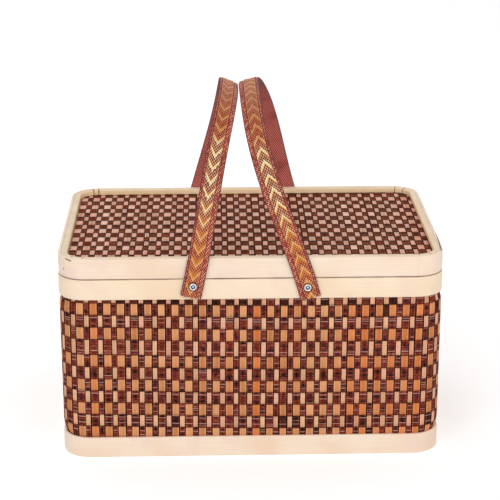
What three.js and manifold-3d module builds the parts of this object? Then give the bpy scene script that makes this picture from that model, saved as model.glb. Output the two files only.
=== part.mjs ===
// A lidded picnic basket of woven bamboo matting between bent wooden bands, with two strap handles.
// Lengths are in millimetres. X runs along the long sides, the front faces -Y and +Z is up.
// The origin lies on the ground under the middle of the basket.
import * as THREE from 'three';
import { mergeVertices } from 'three/addons/utils/BufferGeometryUtils.js';
import Module from 'manifold-3d';

const wasm = await Module();
wasm.setup();

// Overall plan
const basketLength = 400;
const basketDepth = 266;
const cornerRadius = 30;
const cornerSteps = 8;
const gap = 0.3; // left between pieces that touch
const overrun = 2; // a cutter passes this far beyond what it cuts

// Bent wooden bands of the body, and the matting between them
const bandThickness = 3;
const bandEdge = 0.8; // width of the eased edge
const bandJoint = 0.4; // open joint where a band's two ends meet
const matThickness = 1.6;
const bodyHeight = 198;
const bottomBandHeight = 22;
const rimBandHeight = 22;
const innerBandThickness = 4;
const bottomInnerBandHeight = 18;
const rimInnerBandHeight = 36;
const tongueHeight = 8; // the rim's inner band stands this far above the body

// Floor
const floorLift = 2;
const floorBoardThickness = 3;

// Lid
const lidSeatGap = 0.4;
const lidEase = 0.4; // the lid is this much smaller all round than the body
const lidBandHeight = 21.6;
const lidHoopThickness = 6.2;
const lidRecess = 6;
const lidBoardThickness = 2.5;
const lidLinerThickness = 1;
const kerfWidth = 0.8; // saw cuts that let the thick hoop bend at its corners
const kerfDepth = 3;
const kerfShares = [0.06, 0.4]; // places round a corner, from the long side

// Strap handles
const strapWidth = 21.5;
const strapThickness = 2.4;
const strapEdge = 0.6;
const strapStandOff = 1.2; // from the rim's outer band, so that the lid slides past
const strapTail = 12; // below the rivet
const strapLeg = 45; // straight rise from the rivet to where the arch starts
const legSteps = 6;
const archSteps = 44;
const ribbonWidth = 12.5;
const ribbonThickness = 0.5;

// The two handles lean on each other. Sway shares are the first, second and third order
// parts of a leg's sideways course, as shares of the handle's sway at its apex.
const leftHandle = {
    rivetX: -60,
    rivetDrop: 6.3, // from the body's top edge to the rivets
    apexSway: 39.7,
    archRise: 135, // from the straight legs' tops to the apex
    backFullness: 1, // power of the sine in the back leg's arch, and fuller below 1
    frontSwayShares: [1, -0.6, 0.6],
    backSwayShares: [1.23, 0.38, -0.61],
    footRoll: 14,
    apexRoll: 23,
    ribbonAside: -1.5, // of the strap's middle line
};
const rightHandle = {
    rivetX: 57.3,
    rivetDrop: 8.3,
    apexSway: -56.5,
    archRise: 137,
    backFullness: 0.72,
    frontSwayShares: [0.93, 0.85, -0.78],
    backSwayShares: [1.25, -1.2, 0.95],
    footRoll: -17,
    apexRoll: -12,
    ribbonAside: 1.1,
};

// Rivets and their inner washers
const shankRadius = 2;
const headRadius = 4;
const headHeight = 2.4;
const headRim = 1.3; // width of the domed ring round the recess
const headRecess = 0.9;
const clinchRadius = 3.2;
const clinchHeight = 1.2;
const washerRadius = 5;
const washerThickness = 0.8;
const rivetSides = 16;

// Insets of each layer from the basket's outer face
const matInset = bandThickness + gap;
const innerBandInset = matInset + matThickness + gap;
const lidInset = lidEase + bandThickness + gap;
const washerInset = innerBandInset + innerBandThickness + gap;
const clinchInset = washerInset + washerThickness + gap;

// Heights of the floor's and the lid's layers
const floorMatBottom = floorLift + floorBoardThickness + gap;
const bottomInnerBandBottom = floorMatBottom + matThickness + gap;
const lidBottom = bodyHeight + lidSeatGap;
const lidTop = lidBottom + lidBandHeight;
const lidMatBottom = lidTop - lidRecess - gap - matThickness;
const lidBoardBottom = lidMatBottom - gap - lidBoardThickness;

// Colours and finishes
const finish = (color, roughness, metalness = 0) =>
    new THREE.MeshStandardMaterial({ color, roughness, metalness });
const paleWood = 0xf5e2c4;
const darkMat = 0x8a4a2c;
const plainBoard = 0xd9bd92;
const redStrap = 0x8e4038;
const goldRibbon = 0xb5713c;
const silver = 0xc9ccd0;

// Walks round the plan and gives each station's outer point and outward direction.
// The walk starts at seamX on the front (side -1) or back (side 1) and ends there.
function planStations(seamX, side) {
    const centreX = basketLength / 2 - cornerRadius;
    const centreY = basketDepth / 2 - cornerRadius;
    const cornerCentres = [
        [side * centreX, side * centreY],
        [side * centreX, -side * centreY],
        [-side * centreX, -side * centreY],
        [-side * centreX, side * centreY],
    ];
    const stations = [];
    const seam = (x) => stations.push({
        point: new THREE.Vector2(x, (side * basketDepth) / 2),
        outward: new THREE.Vector2(0, side),
    });
    seam(seamX + (side * bandJoint) / 2);
    cornerCentres.forEach(([x, y], corner) => {
        for (let step = 0; step <= cornerSteps; step += 1) {
            const turn = (corner + step / cornerSteps) * (Math.PI / 2);
            const outward = new THREE.Vector2(side * Math.sin(turn), side * Math.cos(turn));
            const point = outward.clone().multiplyScalar(cornerRadius).add(new THREE.Vector2(x, y));
            stations.push({ point, outward });
        }
    });
    seam(seamX - (side * bandJoint) / 2);
    return stations;
}

// Joins rings of points into a closed skin with flat ends. The rings are convex.
function skin(rings) {
    const count = rings[0].length;
    const positions = rings.flat().flatMap((p) => [p.x, p.y, p.z]);
    const index = [];
    for (let r = 0; r + 1 < rings.length; r += 1) {
        for (let i = 0; i < count; i += 1) {
            const a = r * count + i;
            const b = r * count + ((i + 1) % count);
            index.push(a, b, b + count, a, b + count, a + count);
        }
    }
    const last = (rings.length - 1) * count;
    for (let i = 1; i + 1 < count; i += 1) {
        index.push(0, i + 1, i);
        index.push(last, last + i, last + i + 1);
    }
    const geometry = new THREE.BufferGeometry();
    geometry.setAttribute('position', new THREE.Float32BufferAttribute(positions, 3));
    geometry.setIndex(index);
    return faceOutward(geometry);
}

// Turns every triangle round if the skin is inside out.
function faceOutward(geometry) {
    const at = geometry.getAttribute('position');
    const index = geometry.getIndex().array;
    const corner = (i) => new THREE.Vector3().fromBufferAttribute(at, index[i]);
    let volume = 0;
    for (let i = 0; i < index.length; i += 3) {
        volume += corner(i).dot(corner(i + 1).cross(corner(i + 2)));
    }
    if (volume < 0) {
        for (let i = 0; i < index.length; i += 3) {
            [index[i + 1], index[i + 2]] = [index[i + 2], index[i + 1]];
        }
    }
    return geometry;
}

function welded(geometry) {
    const bare = geometry.clone();
    bare.deleteAttribute('normal');
    bare.deleteAttribute('uv');
    return mergeVertices(bare, gap / 1000);
}

function toSolid(geometry) {
    const clean = welded(geometry);
    return new wasm.Manifold(new wasm.Mesh({
        numProp: 3,
        vertProperties: new Float32Array(clean.getAttribute('position').array),
        triVerts: new Uint32Array(clean.getIndex().array),
    }));
}

// Cuts every cutter out of a closed skin.
function cut(geometry, cutters) {
    let solid = toSolid(geometry);
    for (const cutter of cutters) {
        solid = solid.subtract(toSolid(cutter));
    }
    const mesh = solid.getMesh();
    const result = new THREE.BufferGeometry();
    result.setAttribute('position', new THREE.Float32BufferAttribute(mesh.vertProperties, 3));
    result.setIndex([...mesh.triVerts]);
    return result;
}

// A strip bent round the basket, with eased edges and an open joint at seamX.
function hoop({ inset, thickness, bottom, height, seamX = 0, side = 1, edge = bandEdge }) {
    const inner = inset + thickness;
    const top = bottom + height;
    const ease = Math.min(edge, thickness / 3);
    const section = [
        [inset + ease, bottom],
        [inner - ease, bottom],
        [inner, bottom + ease],
        [inner, top - ease],
        [inner - ease, top],
        [inset + ease, top],
        [inset, top - ease],
        [inset, bottom + ease],
    ];
    const rings = planStations(seamX, side).map(({ point, outward }) =>
        section.map(([depth, z]) => {
            const at = outward.clone().multiplyScalar(-depth).add(point);
            return new THREE.Vector3(at.x, at.y, z);
        }));
    return skin(rings);
}

// A flat panel with the plan's outline, drawn in by inset.
function panel({ inset, bottom, thickness }) {
    const radius = cornerRadius - inset;
    const centreX = basketLength / 2 - cornerRadius;
    const centreY = basketDepth / 2 - cornerRadius;
    const outline = new THREE.Shape();
    outline.absarc(centreX, centreY, radius, 0, Math.PI / 2);
    outline.absarc(-centreX, centreY, radius, Math.PI / 2, Math.PI);
    outline.absarc(-centreX, -centreY, radius, Math.PI, 1.5 * Math.PI);
    outline.absarc(centreX, -centreY, radius, 1.5 * Math.PI, 2 * Math.PI);
    outline.closePath();
    const geometry = new THREE.ExtrudeGeometry(outline, {
        depth: thickness,
        curveSegments: cornerSteps,
        bevelEnabled: false,
    });
    return geometry.translate(0, 0, bottom);
}

const rivetHeight = (handle) => bodyHeight - handle.rivetDrop;

// Bores along Y for the rivets of both handles, through the front and the back wall.
function rivetBores() {
    return [leftHandle, rightHandle].map((handle) =>
        new THREE.CylinderGeometry(
            shankRadius + gap, shankRadius + gap, basketDepth + 2 * strapStack + overrun, rivetSides,
        ).translate(handle.rivetX, 0, rivetHeight(handle)));
}

// Saw cuts on the inner face of the lid's hoop, the same at all four corners.
function kerfCutters() {
    const innerRadius = cornerRadius - lidInset - lidHoopThickness;
    const cutters = [];
    for (const sideX of [-1, 1]) {
        for (const sideY of [-1, 1]) {
            for (const share of kerfShares) {
                const turn = (share * Math.PI) / 2;
                const reach = innerRadius + (kerfDepth - overrun) / 2;
                const box = new THREE.BoxGeometry(kerfWidth, kerfDepth + overrun, lidRecess + 2 * overrun);
                box.rotateZ(-sideX * sideY * turn);
                cutters.push(box.translate(
                    sideX * (basketLength / 2 - cornerRadius + reach * Math.sin(turn)),
                    sideY * (basketDepth / 2 - cornerRadius + reach * Math.cos(turn)),
                    lidTop - lidRecess / 2,
                ));
            }
        }
    }
    return cutters;
}

// Distances from the rim band's face outward to each layer at a handle's foot
const strapInner = strapStandOff;
const ribbonInner = strapInner + strapThickness + gap;
const strapStack = ribbonInner + ribbonThickness;
const strapMiddle = strapInner + strapThickness / 2;

// Height above the rivet and distance from the basket's middle, up one leg to the apex.
function legRises(handle, fullness) {
    const halfSpan = basketDepth / 2 + strapMiddle;
    const rises = [];
    for (let step = 0; step < legSteps; step += 1) {
        rises.push([halfSpan, -strapTail + ((strapTail + strapLeg) * step) / legSteps]);
    }
    for (let step = 0; step <= archSteps / 2; step += 1) {
        const turn = (Math.PI * step) / archSteps;
        const rise = strapLeg + handle.archRise * Math.sin(turn) ** fullness;
        rises.push([halfSpan * Math.cos(turn), rise]);
    }
    return rises;
}

// The strap's middle line: straight legs beside the basket and an arch over the lid.
function strapCourse(handle) {
    const leg = (side, fullness, shares) => legRises(handle, fullness).map(([y, rise]) => {
        const climb = rise / (strapLeg + handle.archRise);
        const bow = climb > 0 ? shares[1] * climb ** 2 + shares[2] * climb ** 3 : 0;
        return new THREE.Vector3(
            handle.rivetX + handle.apexSway * (shares[0] * climb + bow),
            side * y,
            rivetHeight(handle) + rise,
        );
    });
    const front = leg(-1, 1, handle.frontSwayShares);
    const back = leg(1, handle.backFullness, handle.backSwayShares).reverse();
    return [...front, ...back.slice(1)];
}

// Directions along, across and out of the strap at each point of its course.
function strapFrames(handle) {
    const course = strapCourse(handle);
    const middle = (course.length - 1) / 2;
    return course.map((point, i) => {
        const before = course[Math.max(i - 1, 0)];
        const after = course[Math.min(i + 1, course.length - 1)];
        const along = after.clone().sub(before).normalize();
        const nearness = (1 - Math.abs(i - middle) / middle) ** 2;
        const degrees = handle.footRoll + (handle.apexRoll - handle.footRoll) * nearness;
        const roll = THREE.MathUtils.degToRad(degrees);
        const across = new THREE.Vector3(Math.cos(roll), 0, -Math.sin(roll));
        across.addScaledVector(along, -across.dot(along)).normalize();
        return { point, across, out: across.clone().cross(along) };
    });
}

// A flat strip laid along the strap, from one depth to another outward of its middle line.
function strip(handle, width, aside, from, to, edge) {
    const half = width / 2;
    const section = [
        [-half + edge, from],
        [half - edge, from],
        [half, from + edge],
        [half, to - edge],
        [half - edge, to],
        [-half + edge, to],
        [-half, to - edge],
        [-half, from + edge],
    ];
    const rings = strapFrames(handle).map(({ point, across, out }) =>
        section.map(([u, v]) =>
            point.clone().addScaledVector(across, aside + u).addScaledVector(out, v)));
    return cut(skin(rings), rivetBores());
}

const strap = (handle) =>
    strip(handle, strapWidth, 0, -strapThickness / 2, strapThickness / 2, strapEdge);

const ribbon = (handle) => {
    const from = strapThickness / 2 + gap;
    const to = from + ribbonThickness;
    return strip(handle, ribbonWidth, handle.ribbonAside, from, to, ribbonThickness / 4);
};

// A rivet for the front wall, turned about Y: a domed ring for a head, a shank and a clinched end.
function rivet() {
    const face = -basketDepth / 2;
    const seat = face - strapStack - gap;
    const crown = seat - headHeight;
    const inner = face + clinchInset;
    const profile = [
        [0, crown + headRecess],
        [headRadius - headRim * 1.6, crown + headRecess],
        [headRadius - headRim, crown + headRecess / 5],
        [headRadius - headRim / 2, crown],
        [headRadius - headRim / 6, crown + headHeight / 3],
        [headRadius, seat - headHeight / 4],
        [headRadius, seat],
        [shankRadius, seat],
        [shankRadius, inner],
        [clinchRadius, inner],
        [clinchRadius - clinchHeight / 2, inner + clinchHeight],
        [0, inner + clinchHeight],
    ];
    return turned(profile);
}

function washer() {
    const near = -basketDepth / 2 + washerInset;
    const far = near + washerThickness;
    const bore = shankRadius + gap;
    return turned([[bore, near], [washerRadius, near], [washerRadius, far], [bore, far], [bore, near]]);
}

function turned(profile) {
    const points = profile.map(([x, y]) => new THREE.Vector2(x, y));
    return faceOutward(welded(new THREE.LatheGeometry(points, rivetSides)));
}

function named(name, geometry, material) {
    const mesh = new THREE.Mesh(geometry, material);
    mesh.name = name;
    return mesh;
}

function basketBody() {
    const body = new THREE.Group();
    const seamFront = basketLength / 2 - cornerRadius - bandJoint;
    const hoops = {
        bottom_outer_band: hoop({
            inset: 0, thickness: bandThickness, bottom: 0, height: bottomBandHeight,
            seamX: -basketLength / 5,
        }),
        bottom_inner_band: hoop({
            inset: innerBandInset, thickness: innerBandThickness,
            bottom: bottomInnerBandBottom, height: bottomInnerBandHeight, seamX: basketLength / 5,
        }),
        rim_outer_band: cut(hoop({
            inset: 0, thickness: bandThickness, bottom: bodyHeight - rimBandHeight,
            height: rimBandHeight, seamX: seamFront - basketLength / 10,
        }), rivetBores()),
        rim_inner_band: cut(hoop({
            inset: innerBandInset, thickness: innerBandThickness,
            bottom: bodyHeight + tongueHeight - rimInnerBandHeight, height: rimInnerBandHeight,
            seamX: -basketLength / 5,
        }), rivetBores()),
    };
    for (const [name, geometry] of Object.entries(hoops)) {
        body.add(named(name, geometry, finish(paleWood, 0.6)));
    }
    const wall = cut(hoop({
        inset: matInset, thickness: matThickness, bottom: floorLift,
        height: bodyHeight - floorLift - gap, seamX: basketLength / 4,
    }), rivetBores());
    body.add(named('wall_mat', wall, finish(darkMat, 0.7)));
    const board = panel({
        inset: innerBandInset, bottom: floorLift, thickness: floorBoardThickness,
    });
    body.add(named('floor_board', board, finish(plainBoard, 0.8)));
    const floorMat = panel({
        inset: innerBandInset, bottom: floorMatBottom, thickness: matThickness,
    });
    body.add(named('floor_mat', floorMat, finish(darkMat, 0.7)));
    return body;
}

function rivetSet() {
    const set = new THREE.Group();
    const places = {
        front_left: [leftHandle, 0],
        front_right: [rightHandle, 0],
        back_left: [leftHandle, Math.PI],
        back_right: [rightHandle, Math.PI],
    };
    for (const [place, [handle, turn]] of Object.entries(places)) {
        const pair = [
            named(`rivet_${place}`, rivet(), finish(silver, 0.25, 1)),
            named(`washer_${place}`, washer(), finish(silver, 0.4, 1)),
        ];
        for (const mesh of pair) {
            mesh.position.set(handle.rivetX, 0, rivetHeight(handle));
            mesh.rotation.z = turn;
            set.add(mesh);
        }
    }
    return set;
}

function lid() {
    const group = new THREE.Group();
    const outer = hoop({
        inset: lidEase, thickness: bandThickness, bottom: lidBottom, height: lidBandHeight,
        seamX: basketLength / 2 - cornerRadius - bandJoint, side: -1,
    });
    const liner = hoop({
        inset: lidInset, thickness: lidLinerThickness, bottom: lidBottom,
        height: lidBoardBottom - gap - lidBottom, seamX: basketLength / 5,
    });
    const topHoop = cut(hoop({
        inset: lidInset, thickness: lidHoopThickness, bottom: lidTop - lidRecess,
        height: lidRecess, seamX: -basketLength / 5,
    }), kerfCutters());
    const mat = panel({ inset: lidInset, bottom: lidMatBottom, thickness: matThickness });
    const board = panel({ inset: lidInset, bottom: lidBoardBottom, thickness: lidBoardThickness });
    group.add(
        named('lid_outer_band', outer, finish(paleWood, 0.6)),
        named('lid_top_hoop', topHoop, finish(paleWood, 0.6)),
        named('lid_liner_hoop', liner, finish(paleWood, 0.7)),
        named('lid_mat', mat, finish(darkMat, 0.7)),
        named('lid_board', board, finish(plainBoard, 0.8)),
    );
    return group;
}

function handlePieces(side, handle) {
    const group = new THREE.Group();
    group.add(
        named(`${side}_strap`, strap(handle), finish(redStrap, 0.8)),
        named(`${side}_ribbon`, ribbon(handle), finish(goldRibbon, 0.7)),
    );
    return group;
}

const picnicBasket = new THREE.Group();
picnicBasket.add(
    basketBody(),
    lid(),
    handlePieces('left', leftHandle),
    handlePieces('right', rightHandle),
    rivetSet(),
);

export default picnicBasket;
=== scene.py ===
import bmesh
import bpy
import numpy as np
from mathutils import Matrix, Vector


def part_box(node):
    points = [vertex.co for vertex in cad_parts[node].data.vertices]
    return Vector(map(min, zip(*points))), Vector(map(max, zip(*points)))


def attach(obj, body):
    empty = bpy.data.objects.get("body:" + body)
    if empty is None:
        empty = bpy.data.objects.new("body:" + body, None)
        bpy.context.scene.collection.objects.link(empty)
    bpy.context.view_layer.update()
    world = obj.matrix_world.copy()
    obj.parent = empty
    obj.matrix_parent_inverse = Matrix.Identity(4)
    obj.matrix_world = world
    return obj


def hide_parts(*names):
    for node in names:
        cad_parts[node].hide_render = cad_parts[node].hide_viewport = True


# A picnic basket of woven bamboo between bent wooden bands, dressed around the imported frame.
# Everything is in metres. X runs along the long sides, the front faces -Y and +Z is up.

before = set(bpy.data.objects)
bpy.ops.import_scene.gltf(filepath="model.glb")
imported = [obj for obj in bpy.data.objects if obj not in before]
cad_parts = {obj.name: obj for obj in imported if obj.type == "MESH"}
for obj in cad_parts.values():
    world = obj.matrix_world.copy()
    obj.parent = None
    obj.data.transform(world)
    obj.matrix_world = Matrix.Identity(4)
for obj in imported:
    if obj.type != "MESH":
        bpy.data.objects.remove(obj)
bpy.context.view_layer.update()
print("frame loaded:", len(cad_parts), "nodes")

mm = 0.001
scene = bpy.context.scene
scene.view_settings.view_transform = "Standard"

# The plan that every band and mat follows: a rectangle with round corners
plan = {
    "length": 400 * mm,
    "depth": 266 * mm,
    "cornerRadius": 30 * mm,
}


# Camera, floor and light

cameraPlace = {
    "place": (-46.5 * mm, -1747.3 * mm, 757.2 * mm),
    "heading": 1.592,  # degrees to the right of +Y
    "pitch": -18.112,
    "roll": -0.072,
    "focalShare": 3.33786,  # focal length as a share of the picture's width
    "sensor": 36.0,
}

studio = {
    "floorHalf": 12.0,
    "floorColour": (0.9, 0.9, 0.9, 1),
    "floorGlow": 0.38,  # added for the camera, so that the open floor is white
    "skyLight": 0.62,
    "aim": (0, 0, 0.12),  # the point that the lamps face
    "lamps": {  # place, diameter and power of each
        "key": ((-1.3, -2.6, 2.3), 2.2, 25.0),
        "fill": ((1.2, -2.4, 0.6), 2.0, 16.0),
        "back": ((-0.5, 1.7, 2.6), 1.2, 7.0),
    },
}


def unit(vectors):
    # Each vector divided by its length
    return vectors / np.linalg.norm(vectors, axis=-1, keepdims=True)


def addPlaced(data, right, up, back, place):
    # A new object at place, with its own X, Y and Z axes along right, up and back
    item = bpy.data.objects.new(data.name, data)
    scene.collection.objects.link(item)
    columns = np.stack([right, up, back, place], axis=1)
    item.matrix_world = Matrix([list(row) for row in columns] + [[0, 0, 0, 1]])
    return item


def makeCamera():
    # Forward from heading and pitch, then the picture turned by the roll
    heading, pitch, roll = np.radians([cameraPlace[key] for key in ("heading", "pitch", "roll")])
    forward = np.array([
        np.sin(heading) * np.cos(pitch), np.cos(heading) * np.cos(pitch), np.sin(pitch)])
    level = unit(np.cross(forward, (0, 0, 1)))
    upright = np.cross(level, forward)
    right = level * np.cos(roll) + upright * np.sin(roll)
    up = upright * np.cos(roll) - level * np.sin(roll)
    data = bpy.data.cameras.new("camera")
    data.sensor_width = cameraPlace["sensor"]
    data.lens = cameraPlace["focalShare"] * cameraPlace["sensor"]
    data.clip_end = 100
    scene.camera = addPlaced(data, right, up, -forward, cameraPlace["place"])


def makeLamp(name, place, size, power):
    # A round lamp whose back points away from what it lights
    data = bpy.data.lights.new(name, "AREA")
    data.shape = "DISK"
    data.size = size
    data.energy = power
    back = unit(np.subtract(place, studio["aim"]))
    right = unit(np.cross((0, 0, 1), back))
    addPlaced(data, right, np.cross(back, right), back, place)


# Shader building. A Signal is one output of a node. Sums of signals add the math nodes for them,
# so a material can be written as its formula.

class Signal:
    def __init__(self, socket):
        self.socket = socket
        self.tree = socket.id_data

    def __add__(self, other):
        return calc("ADD", self, other)

    def __sub__(self, other):
        return calc("SUBTRACT", self, other)

    def __rsub__(self, other):
        return calc("SUBTRACT", other, self)

    def __mul__(self, other):
        return calc("MULTIPLY", self, other)

    def __truediv__(self, other):
        return calc("DIVIDE", self, other)

    def __rtruediv__(self, other):
        return calc("DIVIDE", other, self)

    def __pow__(self, other):
        return calc("POWER", self, other)

    def __abs__(self):
        return calc("ABSOLUTE", self)


def feed(node, inputs):
    # Sets a node's inputs, given by name or number, to values or signals
    for name, value in inputs.items():
        if isinstance(value, Signal):
            node.id_data.links.new(value.socket, node.inputs[name])
        else:
            node.inputs[name].default_value = value


def addNode(tree, kind, inputs, **settings):
    made = tree.nodes.new("ShaderNode" + kind)
    for name, value in settings.items():
        setattr(made, name, value)
    feed(made, inputs)
    return made


def signal(tree, kind, inputs, output=0, **settings):
    return Signal(addNode(tree, kind, inputs, **settings).outputs[output])


def treeOf(*values):
    return next(value.tree for value in values if isinstance(value, Signal))


def calc(operation, *values):
    return signal(treeOf(*values), "Math", dict(enumerate(values)), operation=operation)


def larger(first, second):
    return calc("MAXIMUM", first, second)


def cosine(turns):
    return calc("COSINE", turns * (2 * np.pi))


def remap(value, low, high, start, end, way="LINEAR"):
    # start at low and end at high, a straight line between them and level beyond
    inputs = dict(enumerate((value, low, high, start, end)))
    return signal(value.tree, "MapRange", inputs, interpolation_type=way)


def ramp(value, low, high):
    # 0 at low and 1 at high, with a smooth step between them
    return remap(value, low, high, 0.0, 1.0, "SMOOTHSTEP")


def mixColour(share, first, second, way="MIX"):
    inputs = {0: share, 6: first, 7: second}
    tree = treeOf(share, first, second)
    return signal(tree, "Mix", inputs, 2, data_type="RGBA", blend_type=way)


def timesColour(base, tint):
    return mixColour(1.0, base, tint, "MULTIPLY")


def axesOf(vector):
    outputs = addNode(vector.tree, "SeparateXYZ", {0: vector}).outputs
    return [Signal(outputs[axis]) for axis in range(3)]


def combine(x, y, z):
    return signal(treeOf(x, y, z), "CombineXYZ", {0: x, 1: y, 2: z})


def noise(place, scale, detail):
    return signal(place.tree, "TexNoise", {"Vector": place, "Scale": scale, "Detail": detail})


def ownNumber(first, second):
    # A random number for each pair of whole numbers
    pair = combine(first, second, 0.0)
    return signal(pair.tree, "TexWhiteNoise", {"Vector": pair}, "Value", noise_dimensions="3D")


def bump(height, strength, depth):
    inputs = {"Height": height, "Strength": strength, "Distance": depth}
    return signal(height.tree, "Bump", inputs)


def colour(red, green, blue):
    # A screen colour from 0 to 255 as the linear colour that Blender works in
    share = np.array([red, green, blue]) / 255
    linear = np.where(share <= 0.04045, share / 12.92, ((share + 0.055) / 1.055) ** 2.4)
    return (*[float(value) for value in linear], 1.0)


def newMaterial(name):
    material = bpy.data.materials.new(name)
    material.use_nodes = True
    return material, material.node_tree, material.node_tree.nodes["Principled BSDF"]


def stripPlace(tree):
    return signal(tree, "UVMap", {}, uv_map="strip")


def bodyPlace(tree):
    return signal(tree, "TexCoord", {}, "Object")


def stored(tree, name):
    return signal(tree, "Attribute", {}, "Fac", attribute_name=name)


def signalsOf(node):
    return {socket.name: Signal(socket) for socket in node.outputs}


def newGroup(name, inputs, outputs):
    # A node group: the kind of each input, and the names of its outputs, which are numbers
    tree = bpy.data.node_groups.new(name, "ShaderNodeTree")
    for label, kind in inputs.items():
        tree.interface.new_socket(label, in_out="INPUT", socket_type="NodeSocket" + kind)
    for label in outputs:
        tree.interface.new_socket(label, in_out="OUTPUT", socket_type="NodeSocketFloat")
    return tree, signalsOf(tree.nodes.new("NodeGroupInput")), tree.nodes.new("NodeGroupOutput")


def useGroup(tree, group, **inputs):
    return signalsOf(addNode(tree, "Group", inputs, node_tree=group))


fibreShape = {
    "bend": 3.0,  # how many widths the fibres wander from a straight line
    "bendScale": 18.0,
    "streakStretch": 0.33,  # streaks are three fibres wide, and fine ones a little under one
    "fineStretch": 1.3,
}


def makeFibreGroup():
    # Fibres that run along a strip: noise at along / Length and across / Width of the strip's own
    # UV, with a slow bend
    tree, given, put = newGroup(
        "fibres", {"Place": "Vector", "Length": "Float", "Width": "Float"}, ("Streak", "Fine"))
    x, y, z = axesOf(given["Place"])
    along = x / given["Length"]
    across = noise(given["Place"], fibreShape["bendScale"], 1.0) * fibreShape["bend"]
    across = across + y / given["Width"]
    for label, stretch in (("Streak", "streakStretch"), ("Fine", "fineStretch")):
        feed(put, {label: noise(combine(along, across * fibreShape[stretch], z), 1.0, 2.0)})
    return tree


def makePatchGroup():
    # Slow changes of tone over a piece: soft noise on the place in space
    tree, given, put = newGroup("patches", {"Place": "Vector", "Size": "Float"}, ("Patch",))
    feed(put, {"Patch": noise(given["Place"], 1.0 / given["Size"], 2.0)})
    return tree


fibres = makeFibreGroup()
patches = makePatchGroup()


def fibresOf(tree, length, width, place=None):
    return useGroup(tree, fibres, Place=place or stripPlace(tree), Length=length, Width=width)


def patchesOf(tree, size):
    return useGroup(tree, patches, Place=bodyPlace(tree), Size=size)["Patch"]


# Pale bent wood: cream, with warmer and pinker patches and fine straight grain along the band
bandFinish = {
    "cream": colour(254, 233, 211),
    "warm": colour(250, 221, 193),
    "warmSize": 0.07,
    "pink": colour(250, 222, 206),
    "pinkSize": 0.031,
    "grain": colour(232, 190, 148),
    "grainShare": 0.34,
    "grainLength": 0.09,
    "grainWidth": 0.0009,
    # inside paints bounce light on inner faces, and tints the whole rim band warmer
    "inside": colour(255, 228, 184),
    "insideShare": 0.9,
    # painted shade in the kerfs and along the joint, and the colour of the real blemishes
    "paintedShadeAndMarks": colour(66, 40, 12),
    "darkened": (1.0, 0.95, 0.86),  # a darker wood is also a little yellower
    "roughness": 0.4,
    "roughGrain": 0.2,
}

# Blemishes as start and end in mm, and width: a dark joint line on the rim's right end, and two
# nicks near the lid's front left corner
blemishes = (
    ((199.6, -55.7, 220.0), (196.9, -113.2, 220.0), 0.9),
    ((-191.2, -124.6, 219.0), (-184.7, -129.2, 217.9), 1.1),
    ((-193.1, -122.0, 207.4), (-192.6, -123.0, 206.8), 1.1),
)


def nearBlemish(place, start, end, width):
    # 1 on the line from start to end and 0 beyond its width. The nearest point of the line is
    # start + run * share, with share = (place - start) . run / run . run held between 0 and 1.
    start, run = np.array(start) * mm, np.subtract(end, start) * mm

    def vector(operation, inputs, output="Vector"):
        return signal(place.tree, "VectorMath", inputs, output, operation=operation)

    away = vector("SUBTRACT", {0: place, 1: tuple(start)})
    share = vector("DOT_PRODUCT", {0: away, 1: tuple(run / (run @ run))}, "Value")
    share = calc("MINIMUM", larger(share, 0.0), 1.0)
    foot = vector("SCALE", {0: tuple(run), "Scale": share})
    distance = vector("DISTANCE", {0: away, 1: foot}, "Value")
    return 1 - ramp(distance, width * 0.4 * mm, width * mm)


def makeBandWood(name="bandWood", darken=1.0, overObject=False):
    # A board keeps its CAD mesh, which has no strip UV, so its grain lies on the object instead
    material, tree, shader = newMaterial(name)
    finish = bandFinish
    place = bodyPlace(tree)
    grain = fibresOf(
        tree, finish["grainLength"], finish["grainWidth"], place if overObject else None)
    warm, pink = patchesOf(tree, finish["warmSize"]), patchesOf(tree, finish["pinkSize"])
    base = mixColour(ramp(warm, 0.4, 0.68), finish["cream"], finish["warm"])
    base = mixColour(ramp(pink, 0.5, 0.72), base, finish["pink"])
    lines = ramp(grain["Fine"], 0.5, 0.78) * finish["grainShare"]
    base = mixColour(lines, base, finish["grain"])
    if darken < 1:
        base = timesColour(base, (*[darken * share for share in finish["darkened"]], 1))
    if not overObject:
        # Painted bounce light on the inner face, and the rim band's warmer tone
        base = mixColour(stored(tree, "warmToneAndBounceLight") * finish["insideShare"], base, finish["inside"])
        # Painted shade in kerfs and along the joint, the darker top, and the real blemishes
        shadeAndMarks = stored(tree, "paintedShadeAndMarks") * ramp(pink, 0.1, 0.7)
        for blemish in blemishes:
            shadeAndMarks = larger(shadeAndMarks, nearBlemish(place, *blemish))
        base = mixColour(shadeAndMarks, base, finish["paintedShadeAndMarks"])
    feed(shader, {
        "Base Color": base,
        "Roughness": grain["Streak"] * finish["roughGrain"] + finish["roughness"],
        "Specular IOR Level": 0.35,
        "Normal": bump(grain["Fine"], 0.25, 0.2 * mm),
    })
    return material


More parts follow.
